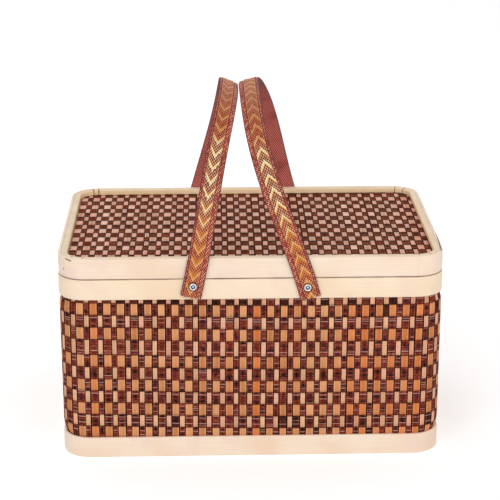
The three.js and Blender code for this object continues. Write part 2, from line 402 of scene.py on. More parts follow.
# Bamboo slats: a tone for each slat and each crossing, orange heart strips here and there,
# paler skin along both sides, and painted shade where a slat dives under the strands and along
# its edges
slatFinish = {
    "wall": {
        "wide": colour(222, 146, 94),
        "wideLight": colour(230, 164, 116),
        "narrow": colour(238, 184, 142),
        "narrowPink": colour(236, 176, 148),
        "skin": colour(244, 192, 160),
        "skinShare": 0.35,
        "aged": colour(206, 124, 62),
        "agedShare": 0.6,
        # painted shade where the slat dives and along its edges
        "creviceShade": colour(56, 12, 4),
    },
    # The lid's slats are paler and pinker than the wall's: partly less yellow varnish, partly a
    # painted sheen of the sky on the lid's top
    "lid": {
        "wide": colour(234, 174, 148),
        "wideLight": colour(252, 204, 184),
        "narrow": colour(238, 180, 150),
        "narrowPink": colour(240, 180, 162),
        "skin": colour(240, 190, 168),
        "skinShare": 0.4,
        "aged": colour(188, 134, 92),
        "agedShare": 0.5,
        # painted shade where the slat dives and along its edges
        "creviceShade": colour(72, 30, 14),
    },
    "orange": colour(222, 108, 34),
    "grainLength": 0.05,
    "grainWidth": 0.0011,
    "mottleLength": 0.003,
    "mottleWidth": 0.0012,
    "bulge": 0.0007,
    "grainDepth": 0.08,
    "roughness": 0.5,
}


def makeSlatWood(name, own):
    # Each slat's own tone lies between two woods, one pair for wide slats and one for narrow.
    # Age, the smooth skin, the orange of the hearts and painted shade at the edges and where the
    # slat dives are laid over in turn.
    material, tree, shader = newMaterial(name)
    finish = slatFinish
    grain = fibresOf(tree, finish["grainLength"], finish["grainWidth"])
    mottle = fibresOf(tree, finish["mottleLength"], finish["mottleWidth"])["Fine"]
    tone, ownTone, narrow, middle = (
        stored(tree, key) for key in ("tone", "ownTone", "narrow", "middle"))
    wides = mixColour(tone, own["wide"], own["wideLight"])
    narrows = mixColour(tone, own["narrow"], own["narrowPink"])
    base = mixColour(narrow, wides, narrows)
    # Age shows in the middle of some crossings, least on the narrow slats
    inner = ramp(middle, 0.0, 0.7)
    aged = ramp(ownTone, 0.3, 1.0) * inner * own["agedShare"] * (1 - narrow * 0.6)
    base = mixColour(aged, base, own["aged"])
    skin = (1 - ramp(middle, 0.0, 0.35)) * own["skinShare"]
    base = mixColour(skin, base, own["skin"])
    heart = stored(tree, "heart") * ramp(grain["Streak"], 0.2, 0.5) * (inner * 0.3 + 0.7)
    base = mixColour(heart, base, finish["orange"])
    shade = remap(grain["Streak"], 0.3, 0.7, 0.9, 1.07) * remap(mottle, 0.3, 0.7, 0.88, 1.09)
    base = timesColour(base, shade * remap(ownTone, 0.0, 1.0, 1.06, 0.9))
    # Painted shade where the slat dives under the strands and along its edges
    inCrevice = larger(ramp(stored(tree, "deep"), 0.06, 0.3), stored(tree, "edge"))
    base = mixColour(inCrevice, base, own["creviceShade"])
    # Each crossing bulges like 1 - cell ** 4, where cell goes from -1 to 1 over it
    height = (1 - abs(stored(tree, "cell")) ** 4.0) + grain["Fine"] * finish["grainDepth"]
    feed(shader, {
        "Base Color": base,
        "Roughness": finish["roughness"],
        "Specular IOR Level": 0.1,
        "Normal": bump(height, 1.0, finish["bulge"]),
    })
    return material


# Dyed weft strands: near black, maroon and purple, crossing by crossing, in short flecks, with
# the bare bamboo showing as a thin line along the pale ones
strandFinish = {
    "black": colour(30, 2, 0),
    "maroon": colour(122, 42, 22),
    "rose": colour(192, 120, 98),
    "purple": colour(86, 32, 52),
    "purpleSize": 0.006,
    # dark cells, which in the rows beside the bands paint the bands' shade
    "darkCellAndShade": colour(42, 28, 20),
    # painted shade between the strands and where they dive
    "gapShade": colour(34, 4, 0),
    "pale": colour(232, 176, 160),
    "streakLength": 0.0032,
    "streakWidth": 0.0009,
    "fleckLength": 0.0016,
    "fleckWidth": 0.0013,
    "roughness": 0.6,
    "wall": {"tint": (0.88, 0.88, 0.92, 1), "gapShadeShare": 0.95, "paleStrength": 0.85},
    "lid": {"tint": (0.7, 0.72, 0.42, 1), "gapShadeShare": 0.6, "paleStrength": 0.5},
}


def makeStrandWood(name, own):
    # Black to maroon by each crossing's tone, with rose and its painted highlight, purple, and the
    # dark cells, which beside the bands paint their shade, laid over in turn, all times the fine
    # streaks.
    # The bare line and the painted shade between the strands and where they dive come last.
    material, tree, shader = newMaterial(name)
    finish = strandFinish
    streaks = fibresOf(tree, finish["streakLength"], finish["streakWidth"])
    flecks = fibresOf(tree, finish["fleckLength"], finish["fleckWidth"])["Fine"]
    patch = patchesOf(tree, finish["purpleSize"])
    tone, upper = stored(tree, "tone"), stored(tree, "upper")
    base = mixColour(ramp(tone, 0.1, 0.6), finish["black"], finish["maroon"])
    # Rose on light crossings and towards both ends of every one, kept mostly to each strand's upper
    # side as a painted highlight, and in flecks
    roseAndHighlight = larger(ramp(tone, 0.6, 1.0), abs(stored(tree, "cell")) ** 2.0 * 0.7)
    roseAndHighlight = larger(roseAndHighlight * (upper * 0.7 + 0.1), ramp(flecks, 0.55, 0.75) * 0.6)
    base = mixColour(roseAndHighlight, base, finish["rose"])
    base = mixColour(ramp(patch, 0.5, 0.7) * 0.6, base, finish["purple"])
    # Dark cells here and there, and more in the rows beside the bands, where they paint the bands'
    # shade
    base = mixColour(stored(tree, "darkCellAndShadeMask") * 0.8, base, finish["darkCellAndShade"])
    base = timesColour(base, own["tint"])
    base = timesColour(base, remap(streaks["Fine"], 0.3, 0.7, 0.12, 2.1))
    bare = stored(tree, "pale") * ramp(streaks["Streak"], 0.25, 0.45) * ramp(upper, 0.5, 1.0)
    base = mixColour(bare * own["paleStrength"], base, finish["pale"])
    # Painted shade between the strands and where they dive under the slats
    edge = ramp(stored(tree, "edge"), 0.3, 0.9) * 0.8
    deep = ramp(stored(tree, "deep"), 0.06, 0.4) * own["gapShadeShare"]
    base = mixColour(larger(edge, deep), base, finish["gapShade"])
    feed(shader, {
        "Base Color": base,
        "Roughness": finish["roughness"],
        "Specular IOR Level": 0.03,
        "Normal": bump(streaks["Fine"], 0.5, 0.2 * mm),
    })
    return material


bandWood = makeBandWood()
innerWood = makeBandWood("innerWood", 0.94)
boardWood = makeBandWood("boardWood", 0.8, overObject=True)
wallSlatWood = makeSlatWood("wallSlatWood", slatFinish["wall"])
lidSlatWood = makeSlatWood("lidSlatWood", slatFinish["lid"])
wallStrandWood = makeStrandWood("wallStrandWood", strandFinish["wall"])
lidStrandWood = makeStrandWood("lidStrandWood", strandFinish["lid"])
print("wood materials made")


# Mesh building

stripShift = 0.037  # between the UVs of neighbouring strips, so that no two have the same grain


def addPiece(name, mesh, material, body, slot, *nodes):
    piece = bpy.data.objects.new(name, mesh)
    scene.collection.objects.link(piece)
    mesh.materials.append(material)
    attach(piece, body)
    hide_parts(*nodes)


def writeMesh(name, corners, loops, counts, uvs, values, sharpAngle):
    # loops holds the corner numbers of all faces in a row, and counts how many each face has
    mesh = bpy.data.meshes.new(name)
    mesh.vertices.add(len(corners))
    mesh.vertices.foreach_set("co", corners.astype(np.float32).ravel())
    mesh.loops.add(len(loops))
    mesh.loops.foreach_set("vertex_index", loops.astype(np.int32))
    mesh.polygons.add(len(counts))
    starts = np.cumsum(counts) - counts
    mesh.polygons.foreach_set("loop_start", starts.astype(np.int32))
    mesh.uv_layers.new(name="strip").data.foreach_set("uv", uvs.astype(np.float32).ravel())
    for label, value in values.items():
        layer = mesh.attributes.new(label, "FLOAT", "POINT")
        layer.data.foreach_set("value", value.astype(np.float32).ravel())
    mesh.update(calc_edges=True)
    mesh.validate()
    mesh.shade_smooth()
    mesh.set_sharp_from_angle(angle=np.radians(sharpAngle))
    return mesh


def turnedOut(corners, quads, loops, counts, uvs):
    # Six times a mesh's volume is the sum of corner . normal over its faces. Where that is below
    # nought the mesh is inside out, and each face takes its corners in the other order.
    first, second, third, fourth = (corners[quads[:, side]] for side in range(4))
    normals = np.cross(second - first, fourth - first)
    if np.einsum("ij,ij->i", first + third, normals).sum() >= 0:
        return loops, uvs
    ends = np.cumsum(counts)
    turned = np.repeat(2 * ends - counts - 1, counts) - np.arange(len(loops))
    return loops[turned], uvs[turned]


def stripMesh(name, rings, sharpAngle, ringClosed=False, values=None):
    # Strips of closed sections carried along their paths. rings is indexed by strip, step,
    # side of the section and x, y, z. Unless its path closes on itself, each strip gets end caps.
    # The UV is the distance along the strip and round its section, with a shift for each strip.
    # values holds named numbers for the shader, each spread over strip, step and side.
    strips, steps, sides = rings.shape[:3]
    spans = steps if ringClosed else steps - 1
    strip, step, side = np.meshgrid(
        np.arange(strips), np.arange(spans), np.arange(sides), indexing="ij")

    def corner(nextStep, nextSide):
        return ((strip * steps + (step + nextStep) % steps) * sides + (side + nextSide) % sides)

    quads = np.stack([corner(0, 0), corner(1, 0), corner(1, 1), corner(0, 1)], -1).reshape(-1, 4)
    middle = rings.mean(axis=2)
    lengths = np.linalg.norm(np.roll(middle, -1, axis=1) - middle, axis=2)
    along = np.concatenate([np.zeros((strips, 1)), np.cumsum(lengths, axis=1)], axis=1)
    girth = np.linalg.norm(np.roll(rings, -1, axis=2) - rings, axis=3).mean(axis=1)
    around = np.concatenate([np.zeros((strips, 1)), np.cumsum(girth, axis=1)], axis=1)
    around -= around[:, sides // 2, None] / 2
    around += np.arange(strips)[:, None] * stripShift
    u = [along[strip, step + nextStep] for nextStep in (0, 1, 1, 0)]
    v = [around[strip, side + nextSide] for nextSide in (0, 0, 1, 1)]
    uv = np.stack([np.stack(u, -1), np.stack(v, -1)], -1).reshape(-1, 4, 2)
    loops, uvs = [quads.ravel()], [uv.reshape(-1, 2)]
    counts = [np.full(len(quads), 4)]
    if not ringClosed:
        for atStep, order in ((0, np.arange(sides)[::-1]), (steps - 1, np.arange(sides))):
            cap = (np.arange(strips)[:, None] * steps + atStep) * sides + order
            capUv = np.stack([
                np.broadcast_to(along[:, atStep, None], cap.shape), around[:, order]], -1)
            loops.append(cap.ravel())
            uvs.append(capUv.reshape(-1, 2))
            counts.append(np.full(strips, sides))
    corners = rings.reshape(-1, 3)
    loops, uvs, counts = np.concatenate(loops), np.concatenate(uvs), np.concatenate(counts)
    loops, uvs = turnedOut(corners, quads, loops, counts, uvs)
    values = {
        label: np.broadcast_to(value, (strips, steps, sides))
        for label, value in (values or {}).items()}
    return writeMesh(name, corners, loops, counts, uvs, values, sharpAngle)


def wander(place, seed, size, wave):
    # A slow random drift along a line: four sine waves of random phase, the longest wave long
    draws = np.random.default_rng(seed)
    drift = np.zeros(np.broadcast(place, 0).shape)
    for order in range(1, 5):
        phase = draws.uniform(0, 2 * np.pi)
        drift = drift + np.sin(2 * np.pi * order * place / wave + phase) / order
    return drift * size / 2


def cornerCentre():
    # How far the centres of the plan's round corners lie from its middle, along X and Y
    return plan["length"] / 2 - plan["cornerRadius"], plan["depth"] / 2 - plan["cornerRadius"]


def planPoints(along, inset):
    # The point and the outward direction at a distance round the plan, drawn in by inset, going
    # anticlockwise from the middle of the front: a corner centre plus a radius that turns
    radius = plan["cornerRadius"] - inset
    centreX, centreY = cornerCentre()
    arc = radius * np.pi / 2
    parts = [0, centreX, arc, 2 * centreY, arc, 2 * centreX, arc, 2 * centreY, arc, centreX]
    marks = np.cumsum(parts)
    at = np.mod(along, marks[-1])
    angle = np.radians(np.interp(at, marks, [-90, -90, 0, 0, 90, 90, 180, 180, 270, 270]))
    x = np.interp(at, marks, np.array([0, 1, 1, 1, 1, -1, -1, -1, -1, 0]) * centreX)
    y = np.interp(at, marks, np.array([-1, -1, -1, 1, 1, 1, 1, -1, -1, -1]) * centreY)
    return x + radius * np.cos(angle), y + radius * np.sin(angle), np.cos(angle), np.sin(angle)


def planLength(inset):
    # All the way round the plan: its four straight sides and a full circle of corners
    centreX, centreY = cornerCentre()
    return 4 * (centreX + centreY) + 2 * np.pi * (plan["cornerRadius"] - inset)


# Bent wooden bands. Each is a section with eased edges carried round the plan, open at its joint.
# joint is its distance in metres from the middle of the front; thickness, gap and ease, the
# radius of the outer and inner edges, are in mm. shadedEnd is the end of the section, from 0 below
# to 1 above, that meets the other half, where painted shade stands for the shadow in the joint;
# darkerTop is how much darker its top face is, warmToneAndBounceLight a warmer tone over the whole
# band, and bounceLitInside painted bounce light on its inner face. Each kerf is a saw cut: its
# corner, its share of the corner's turn and its depth in mm.
bands = {
    "bottomBand": {
        "node": "bottom_outer_band", "body": "basket", "thickness": 3.0, "joint": -0.45,
        "ease": (0.9, 0.5), "seed": 3},
    "bottomInnerBand": {
        "node": "bottom_inner_band", "body": "basket", "thickness": 4.0, "joint": 0.3,
        "ease": (0.5, 0.8), "seed": 4},
    "rimBand": {
        "node": "rim_outer_band", "body": "basket", "thickness": 3.0, "joint": 0.62,
        "ease": (0.9, 0.5), "shadedEnd": 1, "warmToneAndBounceLight": 0.35, "seed": 5},
    "rimInnerBand": {
        "node": "rim_inner_band", "body": "basket", "thickness": 4.0, "joint": 0.5,
        "ease": (0.8, 0.8), "seed": 6},
    "lidBand": {
        "node": "lid_outer_band", "body": "lid", "thickness": 3.0, "joint": 0.1715,
        "ease": (1.0, 0.25), "shadedEnd": 0, "gap": 0.12, "seed": 7},
    "lidTopHoop": {
        "node": "lid_top_hoop", "body": "lid", "thickness": 6.2, "joint": 0.72,
        "ease": (0.15, 1.0), "darkerTop": 0.12, "bounceLitInside": True, "seed": 8, "kerfs": (
            (0, 0.06, 3.2), (0, 0.4, 3.2), (1, 0.15, 5.4), (1, 0.46, 3.2),
            (2, 0.01, 4.2), (2, 0.19, 4.2), (3, 0.06, 3.2), (3, 0.4, 3.2))},
    "lidLinerHoop": {
        "node": "lid_liner_hoop", "body": "lid", "thickness": 1.0, "joint": 0.55,
        "ease": (0.3, 0.3), "seed": 9},
}
bandShape = {
    "jointGap": 0.35,
    "waver": 0.12,  # how far a band's edges wander up and down
    "step": 6.0,  # between two sections
    "easeSteps": 4,
    "kerfWidth": 1.1,
    "kerfSlope": 0.04,  # how far a kerf's walls lean, as a share of half its width
    # How dark the painted shade is in a kerf and along a joint's edge, and how far it reaches there
    "kerfShade": 2.5,
    "jointShade": 0.6,
    "jointShadeReach": 0.7,
    "topShare": 0.99,  # of the height, above which a band's darker top starts
    "insideShare": 0.8,  # of the thickness, past which its inner face starts
}


def cornerPlace(corner, share, inset):
    # Distance round the plan to a share of a corner's turn, counted from the long side.
    # Corners go anticlockwise from the front right.
    centreX, centreY = cornerCentre()
    arc = (plan["cornerRadius"] - inset) * np.pi / 2
    starts = (
        centreX, centreX + arc + 2 * centreY, 3 * centreX + 2 * arc + 2 * centreY,
        3 * centreX + 3 * arc + 4 * centreY)
    return starts[corner] + arc * (share if corner % 2 == 0 else 1 - share)


def easedSection(thickness, height, ease, count):
    # A rectangle with quarter-round edges; depth 0 is its outer face
    outer, inner = ease
    quarter = np.linspace(0, np.pi / 2, count)
    corners = []
    for radius, centreDepth, centreHeight, start in (
            (outer, outer, outer, np.pi),
            (inner, thickness - inner, inner, 1.5 * np.pi),
            (inner, thickness - inner, height - inner, 0),
            (outer, outer, height - outer, 0.5 * np.pi)):
        turn = start + quarter
        corners.append(np.stack([
            centreDepth + radius * np.cos(turn), centreHeight + radius * np.sin(turn)], -1))
    return np.concatenate(corners)


def makeBand(name, band):
    # The section swept round the plan: a point lies depth inside the plan's line and as high as
    # the section says, and a kerf pushes the inner face back to what the saw left
    low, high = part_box(band["node"])
    tall, thick = high.z - low.z, band["thickness"] * mm
    inset = plan["length"] / 2 - high.x
    section = easedSection(
        thick, tall, [edge * mm for edge in band["ease"]], bandShape["easeSteps"])
    whole = planLength(inset)
    steps = int(whole / (bandShape["step"] * mm))
    half = band.get("gap", bandShape["jointGap"]) * mm / 2
    along = band["joint"] + np.linspace(half, whole - half, steps)
    cuts = [
        (cornerPlace(corner, share, inset), deep * mm)
        for corner, share, deep in band.get("kerfs", ())]
    halfCut = bandShape["kerfWidth"] * mm / 2
    mouth = 1 + bandShape["kerfSlope"]
    for cut, deep in cuts:
        cut = band["joint"] + np.mod(cut - band["joint"], whole)
        along = np.concatenate([along, cut + halfCut * np.array([-mouth, -1, 1, mouth])])
    along = np.sort(along)
    x, y, outX, outY = planPoints(along[:, None], inset)
    depth = np.broadcast_to(section[None, :, 0], (len(along), len(section)))
    paintedShadeAndMarks = np.zeros(depth.shape)
    for cut, deep in cuts:
        away = np.abs(np.mod(along - cut + whole / 2, whole) - whole / 2)[:, None]
        inCut = away < halfCut * (1 + mouth) / 2
        reached = thick - deep
        # Painted shade on the floor of the cut
        paintedShadeAndMarks = np.where(inCut & (depth > reached), bandShape["kerfShade"], paintedShadeAndMarks)
        depth = np.where(inCut, np.minimum(depth, reached), depth)
    if "shadedEnd" in band:
        # Painted shade of the joint: darkest on the edge and gone within a millimetre of it
        fromEdge = np.abs(section[:, 1] - band["shadedEnd"] * tall) / (bandShape["jointShadeReach"] * mm)
        paintedShadeAndMarks = np.maximum(paintedShadeAndMarks, bandShape["jointShade"] * np.clip(1 - fromEdge, 0, 1))
    if "darkerTop" in band:
        paintedShadeAndMarks = np.maximum(paintedShadeAndMarks, band["darkerTop"] * (section[:, 1] > bandShape["topShare"] * tall))
    lift = wander(along[:, None], band["seed"], bandShape["waver"] * mm, whole)
    height = low.z + section[None, :, 1] + lift * (section[None, :, 1] / tall - 0.5)
    rings = np.stack([x - outX * depth, y - outY * depth, height + 0 * depth], -1)[None]
    # The inner face takes painted bounce light where the band asks for it
    inner = section[:, 0] > bandShape["insideShare"] * thick
    warmToneAndBounceLight = np.maximum(band.get("warmToneAndBounceLight", 0), inner * band.get("bounceLitInside", False))
    values = {"paintedShadeAndMarks": paintedShadeAndMarks[None], "warmToneAndBounceLight": warmToneAndBounceLight}
    mesh = stripMesh(name, rings, sharpAngle=40, values=values)
    hidden = "Inner" in name or "Liner" in name
    addPiece(
        name, mesh, innerWood if hidden else bandWood, band["body"],
        "inner_wood" if hidden else "band_wood", band["node"])


for name, band in bands.items():
    makeBand(name, band)
print("bands made:", len(bands))


# Woven mats. Slats run one way and pass over and under rows of thin strands, which do the
# opposite. u is the distance across the slats, v the distance along them and lift the height
# out of the mat, and each mat lays these on its own surface.
weave = {
    "lift": 0.42,  # how far a slat or strand swings out of the mat's middle
    "crown": 0.12,  # extra swing in the middle of each crossing, as a share
    "slatThickness": 0.5,
    "slatAcross": (-0.97, 0.97, 1.0, 0.9, 0.0, -0.9, -1.0),  # section, as shares of half the width
    "slatHeight": (-1, -1, 0.35, 1, 1.2, 1, 0.35),  # and of half the thickness
    "strandThickness": 0.42,
    "strandAcross": (-1, 1, 0.74, -0.74),
    "strandHeight": (-1, -1, 1, 1),
    "slatTurn": 0.7,  # length over which a slat passes from over to under, on each side
    "strandFlat": 0.94,  # share of a slat's width over which a strand keeps its level
    "pastLimit": 0.02,
    "wideWidth": 7.4,
    "narrowWidth": 4.85,
    "widthChange": (0.93, 1.06),  # range of the slats' own widths, as a share
    "placeChange": 0.22,  # how far a slat lies from its even place, at most
    "slatSway": 0.3,
    "slatSwayWave": 170.0,
    "strandSway": 0.08,
    "strandSwayWaves": 7,  # how often the longest wave of that sway fits round the basket
    "strandWidths": (0.8, 1.2),  # range of the strands' own widths, before they share out a row
    "strandSpaces": (-0.14, -0.1, -0.04),  # below nought, so that the strands' feet overlap
    "wideHeart": (0.75, 1.0),  # how orange the slats of a heart are
    "narrowHeart": 0.3,
    "strayShare": 0.07,  # share of the wide slats that are orange away from the hearts
    "strayHeart": 0.5,
    "laneTone": 0.3,  # share of a crossing's tone that its whole strand has
    "bareTone": (0.55, 1.0),  # how bare a pale crossing is
    "darkCellEdge": 0.25,  # how far a cell's draw lies under its row's share when it is fully dark
}


def roundTurn(u):
    # The turn that a distance round the wall makes, in radians. Flat mats use it as a slow wave.
    return 2 * np.pi * u / planLength(wallInset)


def slatLayout(mat):
    # Middle, half width and kind of each slat: wide and narrow in turn, with small random
    # changes. The marks give the middles of some wide slats, and the rest lie evenly between.
    # A slat leans by lean + leanChange * sin(turn), the turn being that of its middle.
    draws = np.random.default_rng(mat["seed"])
    count = 2 * mat["pairs"]
    narrow = np.arange(count) % 2
    numbers, places = zip(*mat["marks"])
    middle = np.interp(np.arange(count) / 2, numbers, places) * mm
    middle = middle + draws.uniform(-weave["placeChange"], weave["placeChange"], count) * mm
    width = np.where(narrow == 1, weave["narrowWidth"], weave["wideWidth"]) * mm
    width = width * draws.uniform(*weave["widthChange"], count)
    kept = np.abs(middle) + width / 2 < mat.get("reach", np.inf)
    tone = draws.random(count)
    lean = mat["lean"] + mat["leanChange"] * np.sin(roundTurn(middle))
    return {"middle": middle, "half": width / 2, "narrow": narrow, "kept": kept, "tone": tone,
            "lean": lean, "number": np.arange(count)}


def rowDrift(mat, u):
    # Rows run slightly askew on a flat mat, and rise and fall round the basket: one large wave
    # less three small ones
    turn = roundTurn(u)
    wave = mat["rowRipple"] * (1 - np.cos(3 * turn)) - mat["rowSwing"] * np.sin(turn)
    return mat["rowTilt"] * u + wave * mm


def isOver(mat, number, row):
    # Whether a slat lies over the strands of a row, like the white squares of a chessboard
    return (number + row + mat["phase"]) % 2 == 0


def heldInside(value, low, high):
    # What lies past the limits is squeezed to a small share, so that a strip ends there
    inside = np.clip(value, low, high)
    return inside + (value - inside) * weave["pastLimit"]


def makeSlats(name, mat, surface, limitAt):
    # Each slat is a section of seven corners carried along v = start, middle and end of every
    # crossing, at u = middle + sway + lean * v, lifted or sunk by turns
    slats = slatLayout(mat)
    edges = np.array(mat["rowEdges"]) * mm
    turn = weave["slatTurn"] * mm
    v = np.stack([edges[:-1] + turn, (edges[:-1] + edges[1:]) / 2, edges[1:] - turn], -1).ravel()
    row = np.repeat(np.arange(len(edges) - 1), 3)
    crown = np.tile([1, 1 + weave["crown"], 1], len(edges) - 1)
    kept = slats["kept"]
    middle, half, narrow = (slats[key][kept] for key in ("middle", "half", "narrow"))
    over = isOver(mat, slats["number"][kept][:, None], row[None])
    level = np.where(over, 1, -1) * crown * weave["lift"] * mm
    sway = np.stack([
        wander(v, mat["seed"] * 1000 + number, weave["slatSway"] * mm, weave["slatSwayWave"] * mm)
        for number in slats["number"][kept]])
    lean = slats["lean"][kept]
    side = np.array(weave["slatAcross"])
    thick = np.array(weave["slatHeight"]) * weave["slatThickness"] / 2 * mm
    across = (middle[:, None] + sway + lean[:, None] * v)[:, :, None] + half[:, None, None] * side
    lengthwise = np.broadcast_to((v + rowDrift(mat, middle)[:, None])[:, :, None], across.shape)
    lengthwise = heldInside(lengthwise, *limitAt(across))
    rings = surface(across, lengthwise, level[:, :, None] + thick)
    # Orange fades away from each heart by exp(-(distance / reach) ** 2)
    draws = np.random.default_rng(mat["seed"] + 1)
    heart = np.zeros(len(middle))
    for place, reach, strength in mat["hearts"]:
        heart = np.maximum(heart, strength * np.exp(-((middle / mm - place) / reach) ** 2))
    wideHeart = draws.uniform(*weave["wideHeart"], len(middle))
    heart = np.where(narrow == 1, weave["narrowHeart"], wideHeart) * heart
    stray = (draws.random(len(middle)) < weave["strayShare"]) & (narrow == 0)
    heart = np.maximum(heart, weave["strayHeart"] * stray)
    ownTone = np.repeat(draws.random((len(middle), len(edges) - 1)), 3, axis=1)
    values = {
        "tone": slats["tone"][kept][:, None, None], "narrow": narrow[:, None, None],
        "heart": heart[:, None, None], "deep": ~over[:, :, None], "ownTone": ownTone[:, :, None],
        "cell": np.tile([-1, 0, 1], len(edges) - 1)[None, :, None],
        "middle": np.array([0, 0, 0, 0, 1, 0, 0]), "edge": np.array([1, 1, 1, 0, 0, 0, 1])}
    return stripMesh(name, rings, sharpAngle=40, values=values)


def strandRows(mat, rows):
    # Lanes of the strands, row by row: their middles, half widths and row. The strands of a row
    # share out its width.
    lanes = []
    for row in rows:
        draws = np.random.default_rng(mat["seed"] * 7919 + row)
        low, high = mat["rowEdges"][row], mat["rowEdges"][row + 1]
        count = mat["strandsPerRow"]
        widths = draws.uniform(*weave["strandWidths"], count)
        spaces = draws.choice(weave["strandSpaces"], count)
        widths *= (high - low - spaces.sum()) / widths.sum()
        starts = low + spaces[0] / 2 + np.concatenate([[0], np.cumsum(widths + spaces)[:-1]])
        lanes += list(zip(starts + widths / 2, widths / 2, np.full(count, row)))
    return np.array(lanes).T


def makeStrands(name, mat, surface, rows, closed, limitAt=None):
    # Each strand is a four-cornered section carried along u = start, middle and end of every
    # slat, at v = lane + sway + drift of its row, sunk where the slat is lifted
    slats = slatLayout(mat)
    flat = weave["strandFlat"]
    u = (slats["middle"][:, None] + slats["half"][:, None] * np.array([-flat, 0, flat])).ravel()
    number = np.repeat(slats["number"], 3)
    crown = np.tile([1, 1 + weave["crown"], 1], len(slats["number"]))
    lane, half, row = strandRows(mat, rows)
    kept = np.abs(lane * mm) + half * mm < mat.get("depth", np.inf)
    lane, half, row = lane[kept], half[kept], row[kept]
    over = ~isOver(mat, number[None], row[:, None])
    level = np.where(over, 1, -1) * crown * weave["lift"] * mm
    swayWave = planLength(wallInset) / weave["strandSwayWaves"]
    sway = np.stack([
        wander(u, mat["seed"] * 500 + number, weave["strandSway"] * mm, swayWave)
        for number in range(len(lane))])
    side = np.array(weave["strandAcross"])
    thick = np.array(weave["strandHeight"]) * weave["strandThickness"] / 2 * mm
    lengthwise = (lane[:, None] * mm + sway + rowDrift(mat, u))[:, :, None]
    lengthwise = lengthwise + half[:, None, None] * mm * side
    across = u + np.repeat(slats["lean"], 3) * lane[:, None] * mm
    across = np.broadcast_to(across[:, :, None], lengthwise.shape)
    if limitAt:
        across = heldInside(across, *limitAt(lengthwise))
    rings = surface(across, lengthwise, level[:, :, None] + thick)
    # Every crossing has its own tone. A pale strand shows its bare side at most of its crossings.
    # Whole cells are darkened here and there, and more often in the rows beside the bands, where
    # this paints the bands' shade.
    draws = np.random.default_rng(mat["seed"] + 2 + rows[0])
    crossings = (len(lane), len(slats["number"]))
    tone = draws.random(crossings) * (1 - weave["laneTone"])
    tone = tone + draws.random((len(lane), 1)) * weave["laneTone"]
    order = np.arange(len(lane)) % mat["strandsPerRow"]
    # Painted shading across each row: its first strands lighter, its last darker
    lighter = mat["paintedLaneLight"] * (0.5 - order / (mat["strandsPerRow"] - 1))
    tone = np.clip(tone + lighter[:, None], 0, 1)
    bare = np.array([
        place in mat["paleLanes"].get(int(atRow), ()) for atRow, place in zip(row, order)])
    pale = draws.random(crossings) < np.where(bare, mat["bareShare"], mat["paleShare"])[:, None]
    pale = pale * draws.uniform(*weave["bareTone"], crossings)
    darkCellShare = np.array([mat["shadedRows"].get(int(atRow), mat["darkCellShare"]) for atRow in row])
    cells = (len(mat["rowEdges"]), len(slats["number"]))
    cellDraw = np.random.default_rng(mat["seed"] + 3).random(cells)
    darkCellAndShadeMask = np.clip((darkCellShare[:, None] - cellDraw[row.astype(int)]) / weave["darkCellEdge"], 0, 1)
    values = {
        "deep": ~over[:, :, None],
        "cell": np.tile([-1, 0, 1], len(slats["number"]))[None, :, None],
        "upper": np.array([0, 1, 1, 0]), "edge": np.array([1, 1, 0, 0])}
    for label, share in (("tone", tone), ("pale", pale), ("darkCellAndShadeMask", darkCellAndShadeMask)):
        values[label] = np.repeat(share, 3, axis=1)[:, :, None]
    return stripMesh(name, rings, sharpAngle=50, ringClosed=closed, values=values)


# The wall's mat goes round the basket. Pale lanes are strands that show their bare side at most
# crossings: lane numbers for each row. hearts are the places of the strongly orange slats:
# distance round the plan, reach and strength.
wallInset = 4.1 * mm
wallMat = {
    "pairs": 89,  # of one wide slat and one narrow
    "marks": ((0, 4.3), (89, 4.3 + planLength(wallInset) / mm)),  # pair, place of its wide slat
    "lean": 0.0078,
    "leanChange": -0.003,
    "rowEdges": (
        1.0, 16.6, 30.1, 43.5, 57.0, 70.3, 83.6, 97.1, 110.8, 127.5, 141.1, 154.4, 167.7, 182.0,
        197.0),
    "rowTilt": 0.0,
    "rowSwing": 3.4,  # the rows' large wave
    "rowRipple": 1.1,  # and their three small ones
    "phase": 1,  # moves the chessboard on by a square
    "strandsPerRow": 6,
    "paintedLaneLight": 0.0,  # painted shading: how much lighter a row's first strand is than its last
    "paleShare": 0.03,  # share of a strand's crossings that show its bare side
    "bareShare": 0.8,  # the same for the pale lanes
    "paleLanes": {
        1: (3,), 2: (1, 4), 3: (2,), 4: (4,), 5: (1, 3), 7: (2, 4), 8: (1,), 10: (3, 4),
        12: (2,)},
    "darkCellShare": 0.06,  # share of the cells that are dark
    # Rows beside the bands, with another share of dark cells, which paints the bands' shade
    "shadedRows": {1: 0.3, 2: 0.3, 11: 0.2, 12: 0.5},
    "seed": 21,
    "bow": 3.1,  # how far the mat bows out at the basket's two ends
    "bowReach": 3.0,
    "bowGap": 2.0,  # the mat keeps its place this far past a band
    "shownRows": (range(1, 7), range(7, 13)),  # the first and last rows lie behind the bands
    "hearts": (
        (-163, 4, 1), (-16, 10, 0.9), (5, 4, 0.8), (110, 13, 0.9), (133, 5, 0.6), (170, 14, 0.7),
        (330, 30, 0.6), (640, 40, 0.6), (900, 30, 0.6)),
}


def wallSurface(u, v, lift):
    # Between the bands the mat bows out at the basket's two ends, by
    # bow * outX ** 2 * (1 - exp(-d / bowReach)), where d is the distance from the nearer band
    x, y, outX, outY = planPoints(u, wallInset)
    fromBand = np.minimum(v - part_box("bottom_outer_band")[1].z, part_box("rim_outer_band")[0].z - v)
    fromBand = np.clip(fromBand / mm - wallMat["bowGap"], 0, None)
    bow = wallMat["bow"] * mm * outX ** 2 * (1 - np.exp(-fromBand / wallMat["bowReach"]))
    return np.stack([x + outX * (lift + bow), y + outY * (lift + bow), v + 0 * x], -1)


